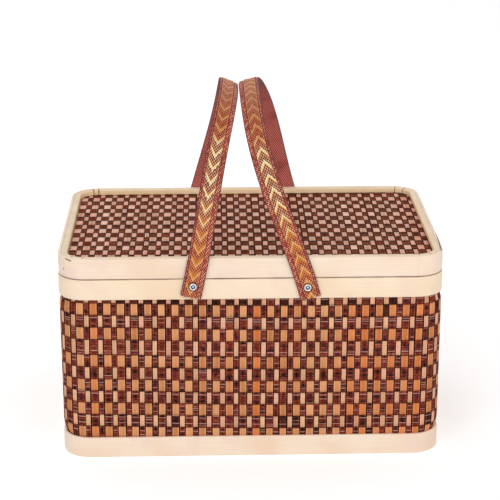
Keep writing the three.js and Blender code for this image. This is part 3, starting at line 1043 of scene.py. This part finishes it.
def makeWall():
    # The slats end with their solid, and the strands close on themselves
    low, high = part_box("wall_mat")
    slats = makeSlats("wallSlats", wallMat, wallSurface, lambda u: (low.z, high.z))
    addPiece("wallSlats", slats, wallSlatWood, "basket", "woven_mat", "wall_mat")
    for name, rows in zip(("wallStrandsLow", "wallStrandsHigh"), wallMat["shownRows"]):
        strands = makeStrands(name, wallMat, wallSurface, rows, True)
        addPiece(name, strands, wallStrandWood, "basket", "woven_mat", "wall_mat")


# A flat mat has its slats from front to back. It stops just inside its solid's outline, whose
# round corners give each slat and strand its own end.
flatMat = {
    "pairs": 28,
    "marks": ((0, -185.8), (9, -61.7), (14, 9.4), (18, 67.9), (28, 209.5)),
    "lean": 0.0073,
    "leanChange": 0.008,
    "rowEdges": tuple(-145.1 + 15.05 * np.arange(20)),
    "rowTilt": -0.0205,
    "rowSwing": 0.0,
    "rowRipple": 0.0,
    "phase": 0,
    "strandsPerRow": 5,
    # Painted shading of each row's dome: lighter at its front strands, darker at its back ones
    "paintedLaneLight": 0.7,
    "paleShare": 0.03,
    "bareShare": 0.8,
    "paleLanes": {},
    "darkCellShare": 0.05,
    "shadedRows": {},
    "hearts": (),
    "margin": 0.4,
    "cornerShare": 0.98,  # of a corner's radius, past which an end draws back no further
}


def makeFlatMat(label, body, node, slatWood, strandWood, **changed):
    # On a flat mat u is x, v is y and the lift goes straight up from its solid's middle
    low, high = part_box(node)
    margin = flatMat["margin"] * mm
    mat = {
        **flatMat, **changed, "reach": high.x - margin, "depth": high.y - margin,
        "level": (low.z + high.z) / 2}
    radius = plan["cornerRadius"] - (plan["length"] / 2 - mat["reach"])

    def surface(u, v, lift):
        return np.stack([u, v, mat["level"] + lift], -1)

    def limits(place, halfHere, halfThere):
        # Half the mat's reach along one axis at a place on the other: a circle at the corners
        past = np.clip(np.abs(place) - (halfHere - radius), 0, radius * flatMat["cornerShare"])
        reach = halfThere - radius + np.sqrt(radius ** 2 - past ** 2)
        return -reach, reach

    slats = makeSlats(
        label + "Slats", mat, surface, lambda u: limits(u, mat["reach"], mat["depth"]))
    addPiece(label + "Slats", slats, slatWood, body, "woven_mat", node)
    strands = makeStrands(
        label + "Strands", mat, surface, range(len(mat["rowEdges"]) - 1), False,
        lambda v: limits(v, mat["depth"], mat["reach"]))
    addPiece(label + "Strands", strands, strandWood, body, "woven_mat", node)


makeWall()
makeFlatMat("lid", "lid", "lid_mat", lidSlatWood, lidStrandWood, seed=31)
makeFlatMat(
    "floor", "basket", "floor_mat", wallSlatWood, wallStrandWood, seed=41, strandsPerRow=3)
print("mats woven")


# Boards keep the frame's own solids
for node in ("floor_board", "lid_board"):
    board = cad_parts[node]
    board.data.materials.clear()
    board.data.materials.append(boardWood)


# Straps. Each handle's course has straight legs beside the basket and an arch over the lid; it
# sways sideways by a cubic of its height and rolls towards its apex. Lengths are in mm.
strapShape = {
    "width": 21.5,
    "thickness": 2.4,
    "standOff": 1.2,
    "tail": 12.0,  # from the cut end to the rivet
    "leg": 45.0,  # from the rivet to the arch
    "legSteps": 6,
    "archSteps": 44,
    "finer": 14,  # steps of the cloth between two stations
    "ribbonWidth": 13.0,
    "ribbonLift": 0.72,  # height of the ribbon's face over the strap's
    "chevronPitch": 14.5,
    "chevronSlope": 1.55,
    "chevronRelief": 0.12,
    "reliefLift": 0.4,  # height over the strap's face above which the ribbon swells
    "edge": 0.7,  # how far the strap's faces stop short of its widest line
    "ribbonEdge": 0.25,
    "ribbonSunk": 0.05,  # depth of the ribbon's inner face in the strap
    "selvageWave": 0.14,
    "selvageShare": 0.97,  # of half the width, past which the selvage starts
    "weftPitch": 1.7,
    "borderShare": 0.6,
    "borderCrown": 0.1,
    "stitchPitch": 3.1,
    "stitchLength": 2.3,
    "stitchWidth": 0.54,
    "stitchHeight": 0.44,
    "stitchRise": 0.24,
    "stitchDive": 0.5,
    "stitchAcross": 5.75,
    "stitchMargin": 4.0,
    "stitchShift": 0.8,  # of one edge's stitches against the other's
    "stitchSlant": 0.1,
    "frays": 34,  # at each tail
    "frayRadius": 0.2,
    "frayLength": (1.0, 3.0),
    "longFrays": 0.12,  # share of the threads that are longer, by a second such length
    "fraySpread": 0.96,  # of half the width
    "frayRoot": 1.0,  # length of each that is hidden in the strap
    "frayBend": 0.9,  # how far their tips turn aside
    "frayLift": 0.5,  # and up or down
}

# rivet is the x and z of both rivets. front and back are the shares of the sway that go with the
# height's first, second and third power on that half. The arch's sine is raised to backFullness
# at the back, rolls are in degrees, and chevrons point to the front tail or, at -1, to the back.
handles = {
    "left": {
        "rivet": (-60.0, 191.7), "archRise": 135.0, "backFullness": 1.0, "sway": 39.7,
        "front": (1, -0.6, 0.6), "back": (1.23, 0.38, -0.61),
        "footRoll": 14, "apexRoll": 23,
        "ribbonAside": -1.5, "chevronStart": 7.6, "points": 1, "seed": 51},
    "right": {
        "rivet": (57.3, 189.7), "archRise": 137.0, "backFullness": 0.72, "sway": -56.5,
        "front": (0.93, 0.85, -0.78), "back": (1.25, -1.2, 0.95),
        "footRoll": -17, "apexRoll": -12,
        "ribbonAside": 1.1, "chevronStart": 7.4, "points": -1, "seed": 52},
}


def strapCourse(handle):
    # Points on the strap's middle line, with its directions along, across and out, and the
    # distance walked from the front tail's end
    shape = strapShape
    total = 2 * shape["legSteps"] + shape["archSteps"]
    station = np.linspace(0, total, total * shape["finer"] + 1)
    fromEnd = np.minimum(station, total - station)
    turn = np.pi * (fromEnd - shape["legSteps"]) / shape["archSteps"]
    onLeg = fromEnd < shape["legSteps"]
    climbed = (shape["tail"] + shape["leg"]) * fromEnd / shape["legSteps"] - shape["tail"]
    onFront = station < total / 2
    arch = np.abs(np.sin(turn)) ** np.where(onFront, 1, handle["backFullness"])
    rise = np.where(onLeg, climbed, shape["leg"] + handle["archRise"] * arch)
    halfSpan = plan["depth"] / 2 / mm + shape["standOff"] + shape["thickness"] / 2
    y = halfSpan * np.where(onLeg, 1, np.cos(turn)) * np.where(onFront, -1, 1)
    climb = rise / (shape["leg"] + handle["archRise"])
    shares = np.where(onFront[:, None], handle["front"], handle["back"])
    bow = np.where(climb > 0, shares[:, 1] * climb ** 2 + shares[:, 2] * climb ** 3, 0)
    x = handle["rivet"][0] + handle["sway"] * (shares[:, 0] * climb + bow)
    middle = np.stack([x, y, handle["rivet"][1] + rise], -1) * mm
    along = unit(np.gradient(middle, axis=0))
    nearness = (fromEnd / (total / 2)) ** 2
    roll = np.radians(handle["footRoll"] + (handle["apexRoll"] - handle["footRoll"]) * nearness)
    across = np.stack([np.cos(roll), 0 * roll, -np.sin(roll)], -1)
    across = unit(across - along * np.einsum("ij,ij->i", across, along)[:, None])
    walked = np.concatenate([[0], np.cumsum(np.linalg.norm(np.diff(middle, axis=0), axis=1))])
    return {"walked": walked, "middle": middle, "along": along, "across": across,
            "out": np.cross(across, along)}


def onStrap(course, walked, across, lift):
    # The point that lies so far along the strap, across it and out of its middle layer. Past its
    # ends the strap goes on straight.
    walked, across, lift = np.broadcast_arrays(walked, across, lift)
    held = np.clip(walked, 0, course["walked"][-1])

    def at(key):
        return np.stack([
            np.interp(held, course["walked"], values) for values in course[key].T], -1)

    return (at("middle") + at("along") * (walked - held)[..., None]
            + at("across") * across[..., None] + at("out") * lift[..., None])


def clothSection(width, low, high, ease, count):
    # Across and lift round a flat strip: its inner face, an edge, its outer face, an edge
    face = np.linspace(-1, 1, count) * (width / 2 - ease)
    across = np.concatenate([face, [width / 2], face[::-1], [-width / 2]])
    middle = (low + high) / 2
    lift = np.concatenate([np.full(count, low), [middle], np.full(count, high), [middle]])
    return across * mm, lift * mm


def strapSteps(course):
    # Even steps along the whole strap
    return np.linspace(0, course["walked"][-1], len(course["walked"]))


def clothPlaces(side, course, walked, across, middle):
    # What the cloth's colours are read from: distances along the strip, across from its own
    # middle line, from the nearer tail's end and from the nearer rivet
    fromTail = np.minimum(walked, course["walked"][-1] - walked)
    fromRivet = np.hypot(fromTail - strapShape["tail"] * mm, across)
    aside = across - middle
    return {
        "walked": walked, "across": aside, "fromTail": fromTail, "fromRivet": fromRivet,
        "points": handles[side]["points"]}


def addStrapBody(side, course):
    # The webbing is a flat section carried along the course. Its selvages bulge by the sine of
    # walked / weftPitch, and its borders stand a little higher than its middle.
    shape = strapShape
    half = shape["thickness"] / 2
    walked = strapSteps(course)[:, None]
    across, lift = clothSection(shape["width"], -half, half, shape["edge"], 9)
    share = np.abs(across) / (shape["width"] / 2 * mm)
    bulge = np.sin(2 * np.pi * walked / (shape["weftPitch"] * mm)) * shape["selvageWave"] * mm
    wide = across + np.sign(across) * bulge * (share > shape["selvageShare"])
    onBorder = np.clip((share - shape["borderShare"]) / (1 - shape["borderShare"]), 0, 1)
    crown = shape["borderCrown"] * mm * np.sin(np.pi * onBorder) * np.sign(lift)
    rings = onStrap(course, walked, wide, lift + crown)
    values = clothPlaces(side, course, walked, across, 0.0)
    values["outer"] = lift > 0
    values["ribbonSide"] = across - handles[side]["ribbonAside"] * mm
    mesh = stripMesh(side + "Strap", rings[None], sharpAngle=50, values=values)
    addPiece(side + "Strap", mesh, strapCloth, side + "_handle", "strap", side + "_strap")


def addRibbon(side, course):
    # The chevron number is (walked - start - slope * |across|) / pitch, and the ribbon's face
    # swells by the cosine of its turns, where the gold threads float
    shape, handle = strapShape, handles[side]
    half = shape["thickness"] / 2
    walked = strapSteps(course)[:, None]
    across, lift = clothSection(
        shape["ribbonWidth"], half - shape["ribbonSunk"], half + shape["ribbonLift"],
        shape["ribbonEdge"], 11)
    across, lift = across[None], lift[None]
    middle = handle["ribbonAside"] * mm
    phase = walked - shape["tail"] * mm - handle["chevronStart"] * mm
    phase = phase - handle["points"] * shape["chevronSlope"] * np.abs(across)
    phase = phase / (shape["chevronPitch"] * mm)
    raised = lift > (half + shape["reliefLift"]) * mm
    swell = np.cos(2 * np.pi * phase) * shape["chevronRelief"] * mm * raised
    rings = onStrap(course, walked, across + middle, lift + swell)
    values = clothPlaces(side, course, walked, across + middle, middle)
    values["chevron"] = phase
    mesh = stripMesh(side + "Ribbon", rings[None], sharpAngle=50, values=values)
    addPiece(side + "Ribbon", mesh, ribbonCloth, side + "_handle", "ribbon", side + "_ribbon")


def addStitches(side, course):
    # Running stitches down both edges of the ribbon: short arcs of thread that dive at their
    # ends, by the fourth power of the way from the stitch's middle
    shape = strapShape
    last = course["walked"][-1] / mm
    starts = np.arange(shape["stitchMargin"], last - shape["stitchMargin"], shape["stitchPitch"])
    draws = np.random.default_rng(handles[side]["seed"])
    starts = np.concatenate([starts, starts + shape["stitchShift"]])[:, None, None]
    line = np.repeat([-1, 1], len(starts) // 2)[:, None, None]
    slant = draws.uniform(-shape["stitchSlant"], shape["stitchSlant"], len(starts))[:, None, None]
    run = np.linspace(-1, 1, 7)[None, :, None]
    turn = np.radians([45, 135, 225, 315])[None, None, :]
    top = shape["thickness"] / 2 + shape["ribbonLift"]
    wide, high = shape["stitchWidth"] / 2, shape["stitchHeight"] / 2
    lift = top + shape["stitchRise"] - shape["stitchDive"] * run ** 4 + high * np.sin(turn)
    middle = handles[side]["ribbonAside"] + line * shape["stitchAcross"]
    across = middle + slant * run + wide * np.cos(turn)
    walked = starts + run * shape["stitchLength"] / 2
    rings = onStrap(course, walked * mm, across * mm, lift * mm)
    mesh = stripMesh(side + "Stitches", rings, sharpAngle=60)
    addPiece(side + "Stitches", mesh, stitchThread, side + "_handle", "strap", side + "_strap")


def addFrays(side, course):
    # Loose ends of thread at both cut tails, each a thin tapering strip that bends its own way,
    # by the square of the share run along it
    shape = strapShape
    draws = np.random.default_rng(handles[side]["seed"] + 7)
    count = 2 * shape["frays"]
    length = draws.uniform(*shape["frayLength"], count)
    longer = draws.random(count) < shape["longFrays"]
    length = length + longer * draws.uniform(*shape["frayLength"], count)
    spread = shape["fraySpread"]
    place = draws.uniform(-spread, spread, count) * shape["width"] / 2
    level = draws.uniform(-1.0, 1.0, count)
    bend = draws.normal(0, shape["frayBend"], count)
    away = np.maximum(draws.normal(0.2, shape["frayLift"], count), -0.4)
    run = np.linspace(0, 1, 6)[None, :, None]
    turn = np.radians([90, 210, 330])[None, None, :]
    radius = shape["frayRadius"] * (1.15 - run)
    end = np.repeat([0, 1], count // 2)[:, None, None]
    outward = run * (length[:, None, None] + shape["frayRoot"]) - shape["frayRoot"]
    walked = np.where(end == 0, -outward * mm, course["walked"][-1] + outward * mm)
    across = place[:, None, None] + bend[:, None, None] * run ** 2 + radius * np.cos(turn)
    lift = level[:, None, None] + away[:, None, None] * run ** 2 + radius * np.sin(turn)
    rings = onStrap(course, walked, across * mm, lift * mm)
    values = {"tip": run, "tone": draws.random(count)[:, None, None]}
    mesh = stripMesh(side + "Frays", rings, sharpAngle=60, values=values)
    addPiece(side + "Frays", mesh, frayThread, side + "_handle", "strap", side + "_strap")


# The webbing is a beaded twill that slants one way, and the ribbon a check of small beads
# crossed by gold chevrons. Colours come from where the thread lies, read from distances stored
# in the mesh.
clothFinish = {
    "redDark": colour(90, 16, 22),
    "red": colour(204, 90, 70),
    "redLight": colour(252, 174, 142),
    "innerDark": colour(92, 22, 24),
    # lighter than red: painted light on the shaded inner face
    "innerLitRed": colour(248, 142, 128),
    # painted shade in the grooves beside the ribbon
    "grooveShade": colour(96, 26, 20),
    "selvage": colour(84, 38, 42),
    "sunk": colour(60, 22, 14),  # cloth in the shade of the rivet that presses it in
    "sunkShare": 0.8,
    "goldFoot": colour(230, 146, 66),
    "gold": colour(238, 178, 92),
    "goldInner": colour(196, 124, 40),
    "goldEdge": colour(255, 234, 184),
    "goldGap": colour(164, 80, 36),  # between the gold threads
    # painted shadow just outside each chevron, on the side it points to
    "outline": colour(112, 52, 20),
    "footDark": colour(112, 26, 20),
    "footLight": colour(234, 138, 96),
    "groundDark": colour(70, 4, 14),
    "groundLight": colour(240, 172, 134),
    "apexDark": colour(156, 82, 48),
    "apexLight": colour(212, 146, 104),
    "frayLight": colour(196, 188, 184),
    "frayDark": colour(120, 112, 116),
    "threadPitch": 0.0026,
    "laneShare": 0.85,  # width of one lane of the twill's beads, as a share of the pitch
    "beadAlong": 0.0037,
    "beadAcross": 0.0028,
    "wearSize": 0.02,
    "threadTwist": 9000.0,  # radians for each metre of a stitch's thread
    "roughness": 0.75,
}

# Where the looks change, each from none to full, in metres: from the nearer tail's end, from the
# middle of the ribbon or the strap, or from the nearer rivet
clothZones = {
    "foot": (0.055, 0.115),  # the rusty foot is full before this and gone after it
    "rust": (0.158, 0.182),
    "apex": (0.195, 0.23),
    # painted shade over the upper arch, below the apex
    "upperShadeStart": (0.15, 0.19),
    "upperShadeEnd": (0.23, 0.26),
    "innerShade": (0.15, 0.24),
    "grooveStart": (0.006, 0.0064),
    "grooveEnd": (0.007, 0.0076),
    "selvage": (0.0096, 0.0102),
    "rivet": (0.0044, 0.0058),
}


def makeTwillGroup():
    # Thread is a ridge for each slanted thread, Dot one bead for each place where it shows, and
    # Fleck a number of its own for each bead. The beads of neighbours lie half a lane apart.
    tree, given, put = newGroup(
        "twill", {"Place": "Float", "Across": "Float", "Pitch": "Float"},
        ("Thread", "Dot", "Height", "Fleck"))
    turns = given["Place"] / given["Pitch"]
    number = calc("ROUND", turns)
    lanes = given["Across"] / (given["Pitch"] * clothFinish["laneShare"]) + number * 0.5
    thread = cosine(turns) * 0.5 + 0.5
    bead = cosine(lanes) * 0.5 + 0.5
    feed(put, {
        "Thread": thread,
        "Dot": thread * bead,
        "Height": thread * (bead * 0.4 + 0.6),
        "Fleck": ownNumber(number, calc("ROUND", lanes)),
    })
    return tree


def makeCheckGroup():
    # Bead is 1 on each light bead of a chequered lattice and 0 on the dark ones between, and
    # Fleck a number of its own for each light bead
    tree, given, put = newGroup(
        "check", {"Walked": "Float", "Across": "Float"}, ("Bead", "Fleck"))
    walked = given["Walked"] / clothFinish["beadAlong"]
    across = given["Across"] / clothFinish["beadAcross"]
    feed(put, {
        "Bead": cosine(walked) * cosine(across) * 0.5 + 0.5,
        "Fleck": ownNumber(calc("ROUND", walked + across), calc("ROUND", walked - across)),
    })
    return tree


def makeRivetShadeGroup():
    # The cloth that a rivet's rim presses in is darker
    tree, given, put = newGroup("rivetShade", {"FromRivet": "Float"}, ("Shade",))
    near = 1 - ramp(given["FromRivet"], *clothZones["rivet"])
    feed(put, {"Shade": near * clothFinish["sunkShare"]})
    return tree


twill = makeTwillGroup()
check = makeCheckGroup()
rivetShade = makeRivetShadeGroup()


def rivetShadeOf(tree):
    return useGroup(tree, rivetShade, FromRivet=stored(tree, "fromRivet"))["Shade"]


def makeStrapCloth():
    # Red-brown twill with light beads, whose threads run at 45 degrees: their place is how far
    # they lie along the strap plus how far across it
    material, tree, shader = newMaterial("strapCloth")
    finish, zones = clothFinish, clothZones
    across, outer = stored(tree, "across"), stored(tree, "outer")
    place = stored(tree, "walked") + across
    threads = useGroup(tree, twill, Place=place, Across=across, Pitch=finish["threadPitch"])
    face = mixColour(ramp(threads["Height"], 0.05, 0.6), finish["redDark"], finish["red"])
    light = ramp(threads["Dot"], 0.1, 0.45) * ramp(threads["Fleck"], 0.1, 0.5)
    face = mixColour(light, face, finish["redLight"])
    # The inner face is plain twill without light beads, in a lighter red that paints light onto
    # this shaded face, and with painted shade under the arch towards the apex
    inner = mixColour(
        ramp(threads["Thread"], 0.1, 0.9), finish["innerDark"], finish["innerLitRed"])
    shaded = ramp(stored(tree, "fromTail"), *zones["innerShade"]) * 0.75
    inner = mixColour(shaded, inner, finish["innerDark"])
    base = mixColour(outer, inner, face)
    worn = ramp(patchesOf(tree, finish["wearSize"]), 0.45, 0.8) * 0.45
    base = mixColour(worn, base, finish["redDark"])
    # Painted shade in the grooves beside the ribbon, the dark selvages, and painted shade on the
    # cloth pressed in by the rivets
    aside = abs(stored(tree, "ribbonSide"))
    grooveShade = ramp(aside, *zones["grooveStart"]) - ramp(aside, *zones["grooveEnd"])
    base = mixColour(grooveShade * outer * 0.7, base, finish["grooveShade"])
    base = mixColour(ramp(abs(across), *zones["selvage"]) * 0.9, base, finish["selvage"])
    base = mixColour(rivetShadeOf(tree), base, finish["sunk"])
    feed(shader, {
        "Base Color": base,
        "Roughness": finish["roughness"],
        "Specular IOR Level": 0.2,
        "Sheen Weight": 0.15,
        "Sheen Roughness": 0.4,
        "Normal": bump(threads["Height"], 0.7, 0.5 * mm),
    })
    return material


def makeRibbonCloth():
    # Gold chevrons on a beaded ground. Both change along the ribbon, from foot to apex.
    material, tree, shader = newMaterial("ribbonCloth")
    finish, zones = clothFinish, clothZones
    across, fromTail, phase = (stored(tree, key) for key in ("across", "fromTail", "chevron"))
    beads = useGroup(tree, check, Walked=stored(tree, "walked"), Across=across)
    bead, fleck = beads["Bead"], beads["Fleck"]
    share = abs(across) / (strapShape["ribbonWidth"] / 2 * mm)
    foot = 1 - ramp(fromTail, *zones["foot"])
    rust = larger(foot, ramp(fromTail, *zones["rust"]))
    apex = ramp(fromTail, *zones["apex"])
    # ahead is how far the place lies past the nearest chevron's middle line towards its point, as
    # a share of the pitch, and nearness how far it lies inside the gold, which narrows outwards
    ahead = (calc("ROUND", phase) - phase) * stored(tree, "points")
    nearness = share * -0.05 + 0.22 - abs(ahead)
    # Solid near that line, with broken threads along both edges, and a filled notch near the feet
    core = ramp(nearness, 0.03, 0.1)
    fringe = ramp(nearness, -0.16, 0.02) * ramp(fleck, 0.1, 0.4) * ramp(bead, 0.35, 0.6)
    notch = ramp(share, 0.75, 0.35) * ramp(ahead, 0.0, -0.1) * ramp(ahead, -0.5, -0.3) * foot
    gold = larger(larger(core, fringe), notch * 0.75) * ramp(share, 1.0, 0.93)
    # The gold is darkest in the chevron's notch and palest along its leading edge
    thread = mixColour(rust, finish["gold"], finish["goldFoot"])
    thread = mixColour(ramp(ahead, -0.04, -0.18) * 0.8, thread, finish["goldInner"])
    bright = ramp(ahead, -0.14, 0.03) * (0.95 - rust * 0.72)
    thread = mixColour(bright, thread, finish["goldEdge"])
    gaps = ramp(bead, 0.5, 0.1) * (rust * 0.3 + 0.35)
    thread = mixColour(gaps, thread, finish["goldGap"])
    thread = mixColour(apex, thread, finish["apexLight"])
    # Ground: light beads on dark ones, rustier at the feet and tan over the apex
    dark = mixColour(rust, finish["groundDark"], finish["footDark"])
    dark = mixColour(apex, dark, finish["apexDark"])
    light = mixColour(rust, finish["groundLight"], finish["footLight"])
    light = mixColour(apex, light, finish["apexLight"])
    ground = mixColour(ramp(bead, 0.35, 0.7) * ramp(fleck, -0.3, 0.3), dark, light)
    # Painted shadow just outside each chevron, on the side it points to
    outline = ramp(ahead, 0.1, 0.2) * ramp(nearness, -0.12, -0.03)
    ground = mixColour(outline * 0.6, ground, finish["outline"])
    base = mixColour(gold, ground, thread)
    # Painted shade on the upper arch, below the apex
    upperShade = ramp(fromTail, *zones["upperShadeStart"]) - ramp(fromTail, *zones["upperShadeEnd"])
    base = mixColour(upperShade * 0.25, base, finish["footDark"])
    base = mixColour(rivetShadeOf(tree), base, finish["sunk"])
    feed(shader, {
        "Base Color": base,
        "Roughness": remap(gold, 0.0, 1.0, 0.75, 0.5),
        "Specular IOR Level": 0.25,
        "Normal": bump(bead, 0.5, 0.5 * mm),
    })
    return material


def makeStitchThread():
    # Light and dark turn by turn along the twisted thread
    material, tree, shader = newMaterial("stitchThread")
    turns = axesOf(stripPlace(tree))[0] * clothFinish["threadTwist"]
    twist = calc("SINE", turns) * 0.5 + 0.5
    feed(shader, {
        "Base Color": mixColour(twist, clothFinish["red"], clothFinish["redLight"]),
        "Roughness": 0.7,
        "Normal": bump(twist, 0.4, 0.1 * mm),
    })
    return material


def makeFrayThread():
    # Dyed at the root and bleached grey at the tip
    material, tree, shader = newMaterial("frayThread")
    finish, tone = clothFinish, stored(tree, "tone")
    pale = mixColour(tone, finish["frayLight"], finish["frayDark"])
    root = mixColour(ramp(tone, 0.3, 0.7), finish["red"], finish["goldFoot"])
    tip = ramp(stored(tree, "tip"), 0.15, 0.55)
    feed(shader, {"Base Color": mixColour(tip, root, pale), "Roughness": 0.8})
    return material


strapCloth = makeStrapCloth()
ribbonCloth = makeRibbonCloth()
stitchThread = makeStitchThread()
frayThread = makeFrayThread()
for side, handle in handles.items():
    course = strapCourse(handle)
    for add in (addStrapBody, addRibbon, addStitches, addFrays):
        add(side, course)
print("straps made")


# Rivets and washers, turned about the Y axis. A profile goes from the head's dimple out over its
# domed ring, down the shank and through the clinched end: radius and height in mm from the seat.
rivetShape = {
    "steps": 48,
    "headHeight": 2.4,
    "head": (
        (0.0, 1.0), (0.7, 0.95), (1.3, 0.75), (1.7, 0.8), (2.0, 1.2), (2.25, 1.75), (2.6, 2.2),
        (3.0, 2.38), (3.4, 2.2), (3.75, 1.7), (3.95, 1.0), (4.0, 0.45), (3.85, 0.0), (2.0, 0.0)),
    "clinch": (
        (2.0, -15.3), (3.2, -15.3), (3.2, -15.8), (2.9, -16.3), (2.3, -16.5), (1.2, -16.5),
        (0.0, -16.2)),
    "washer": ((2.3, 0.0), (4.7, 0.0), (5.0, 0.25), (5.0, 0.6), (4.75, 0.8), (2.3, 0.8)),
}
rivetFinish = {
    "bright": colour(232, 233, 236),
    "dull": colour(190, 193, 200),
    "hazeScale": 900.0,
    "tarnish": colour(88, 96, 116),
    "tarnishStart": (0.0004, 0.0013),  # metres from the rivet's axis
    "tarnishEnd": (0.0024, 0.0019),
}


def turnedMesh(name, profile, centre, outward):
    # The profile's radius and height swept once round the Y axis
    radius, height = np.array(profile).T * mm
    angle = np.linspace(0, 2 * np.pi, rivetShape["steps"], endpoint=False)[:, None]
    rings = np.stack([
        centre[0] + radius * np.cos(angle), centre[1] + outward * height + 0 * angle,
        centre[2] + radius * np.sin(angle)], -1)
    values = {"fromAxis": radius + 0 * angle}
    mesh = stripMesh(name, rings[None], sharpAngle=32, ringClosed=True, values=values)
    poles = bmesh.new()
    poles.from_mesh(mesh)
    bmesh.ops.remove_doubles(poles, verts=poles.verts, dist=0.001 * mm)
    bmesh.ops.dissolve_degenerate(poles, edges=poles.edges, dist=0.001 * mm)
    poles.to_mesh(mesh)
    poles.free()
    return mesh


def addTurned(node, profile, outward, seat):
    # One turned piece in the middle of its node's box, with its profile's zero at the seat
    low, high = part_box(node)
    centre = ((low.x + high.x) / 2, seat(low.y, high.y), (low.z + high.z) / 2)
    mesh = turnedMesh(node + "Turned", profile, centre, outward)
    addPiece(node + "Turned", mesh, rivetMetal, "basket", "rivet_metal", node)


def addRivets():
    # A rivet's seat lies a head's height inside its outer end, and a washer's is its inner face
    headHeight = rivetShape["headHeight"] * mm
    for node in [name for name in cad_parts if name.startswith("rivet")]:
        front = "front" in node
        outward = -1 if front else 1
        addTurned(
            node, rivetShape["head"] + rivetShape["clinch"], outward,
            lambda low, high: low + headHeight if front else high - headHeight)
        addTurned(
            node.replace("rivet", "washer"), rivetShape["washer"], outward,
            lambda low, high: high if front else low)


def makeRivetMetal():
    # Bright nickel with faint turning marks and dull patches. The recess in the head is tarnished
    # round its bright middle.
    material, tree, shader = newMaterial("rivetMetal")
    finish = rivetFinish
    haze = noise(bodyPlace(tree), finish["hazeScale"], 3.0)
    fromAxis = stored(tree, "fromAxis")
    tarnish = ramp(fromAxis, *finish["tarnishEnd"]) * ramp(fromAxis, *finish["tarnishStart"])
    base = mixColour(ramp(haze, 0.35, 0.75), finish["bright"], finish["dull"])
    feed(shader, {
        "Base Color": mixColour(tarnish, base, finish["tarnish"]),
        "Roughness": remap(haze, 0.3, 0.7, 0.16, 0.32),
        "Metallic": 1.0,
        "Normal": bump(haze, 0.05, 0.1 * mm),
    })
    return material


rivetMetal = makeRivetMetal()
addRivets()
print("rivets turned")


# Floor, sky and lamps

def seenRays(tree):
    # 1 for rays from the camera, by way of a mirror or glass too, and 0 for light that bounces
    rays = signalsOf(addNode(tree, "LightPath", {}))
    seen = larger(rays["Is Camera Ray"], rays["Is Glossy Ray"])
    return larger(seen, rays["Is Transmission Ray"])


def makeFloor():
    # A large square of white paper, which glows a little for the camera alone
    half = studio["floorHalf"]
    corners = [(-half, -half, 0), (half, -half, 0), (half, half, 0), (-half, half, 0)]
    mesh = bpy.data.meshes.new("floor")
    mesh.from_pydata(corners, [], [(0, 1, 2, 3)])
    floor = bpy.data.objects.new("floor", mesh)
    scene.collection.objects.link(floor)
    material, tree, shader = newMaterial("floorPaper")
    feed(shader, {
        "Base Color": studio["floorColour"], "Roughness": 1.0, "Specular IOR Level": 0.0})
    strength = seenRays(tree) * studio["floorGlow"]
    glow = signal(tree, "Emission", {"Color": (1, 1, 1, 1), "Strength": strength})
    both = signal(tree, "AddShader", {0: Signal(shader.outputs[0]), 1: glow})
    feed(tree.nodes["Material Output"], {"Surface": both})
    mesh.materials.append(material)


def makeSky():
    # White where it is seen, and dimmer as a light
    world = bpy.data.worlds.new("studio")
    scene.world = world
    world.use_nodes = True
    tree = world.node_tree
    strength = remap(seenRays(tree), 0.0, 1.0, studio["skyLight"], 1.0)
    feed(tree.nodes["Background"], {"Color": (1, 1, 1, 1), "Strength": strength})


makeFloor()
makeSky()
for name, settings in studio["lamps"].items():
    makeLamp(name, *settings)
makeCamera()
print("studio set")
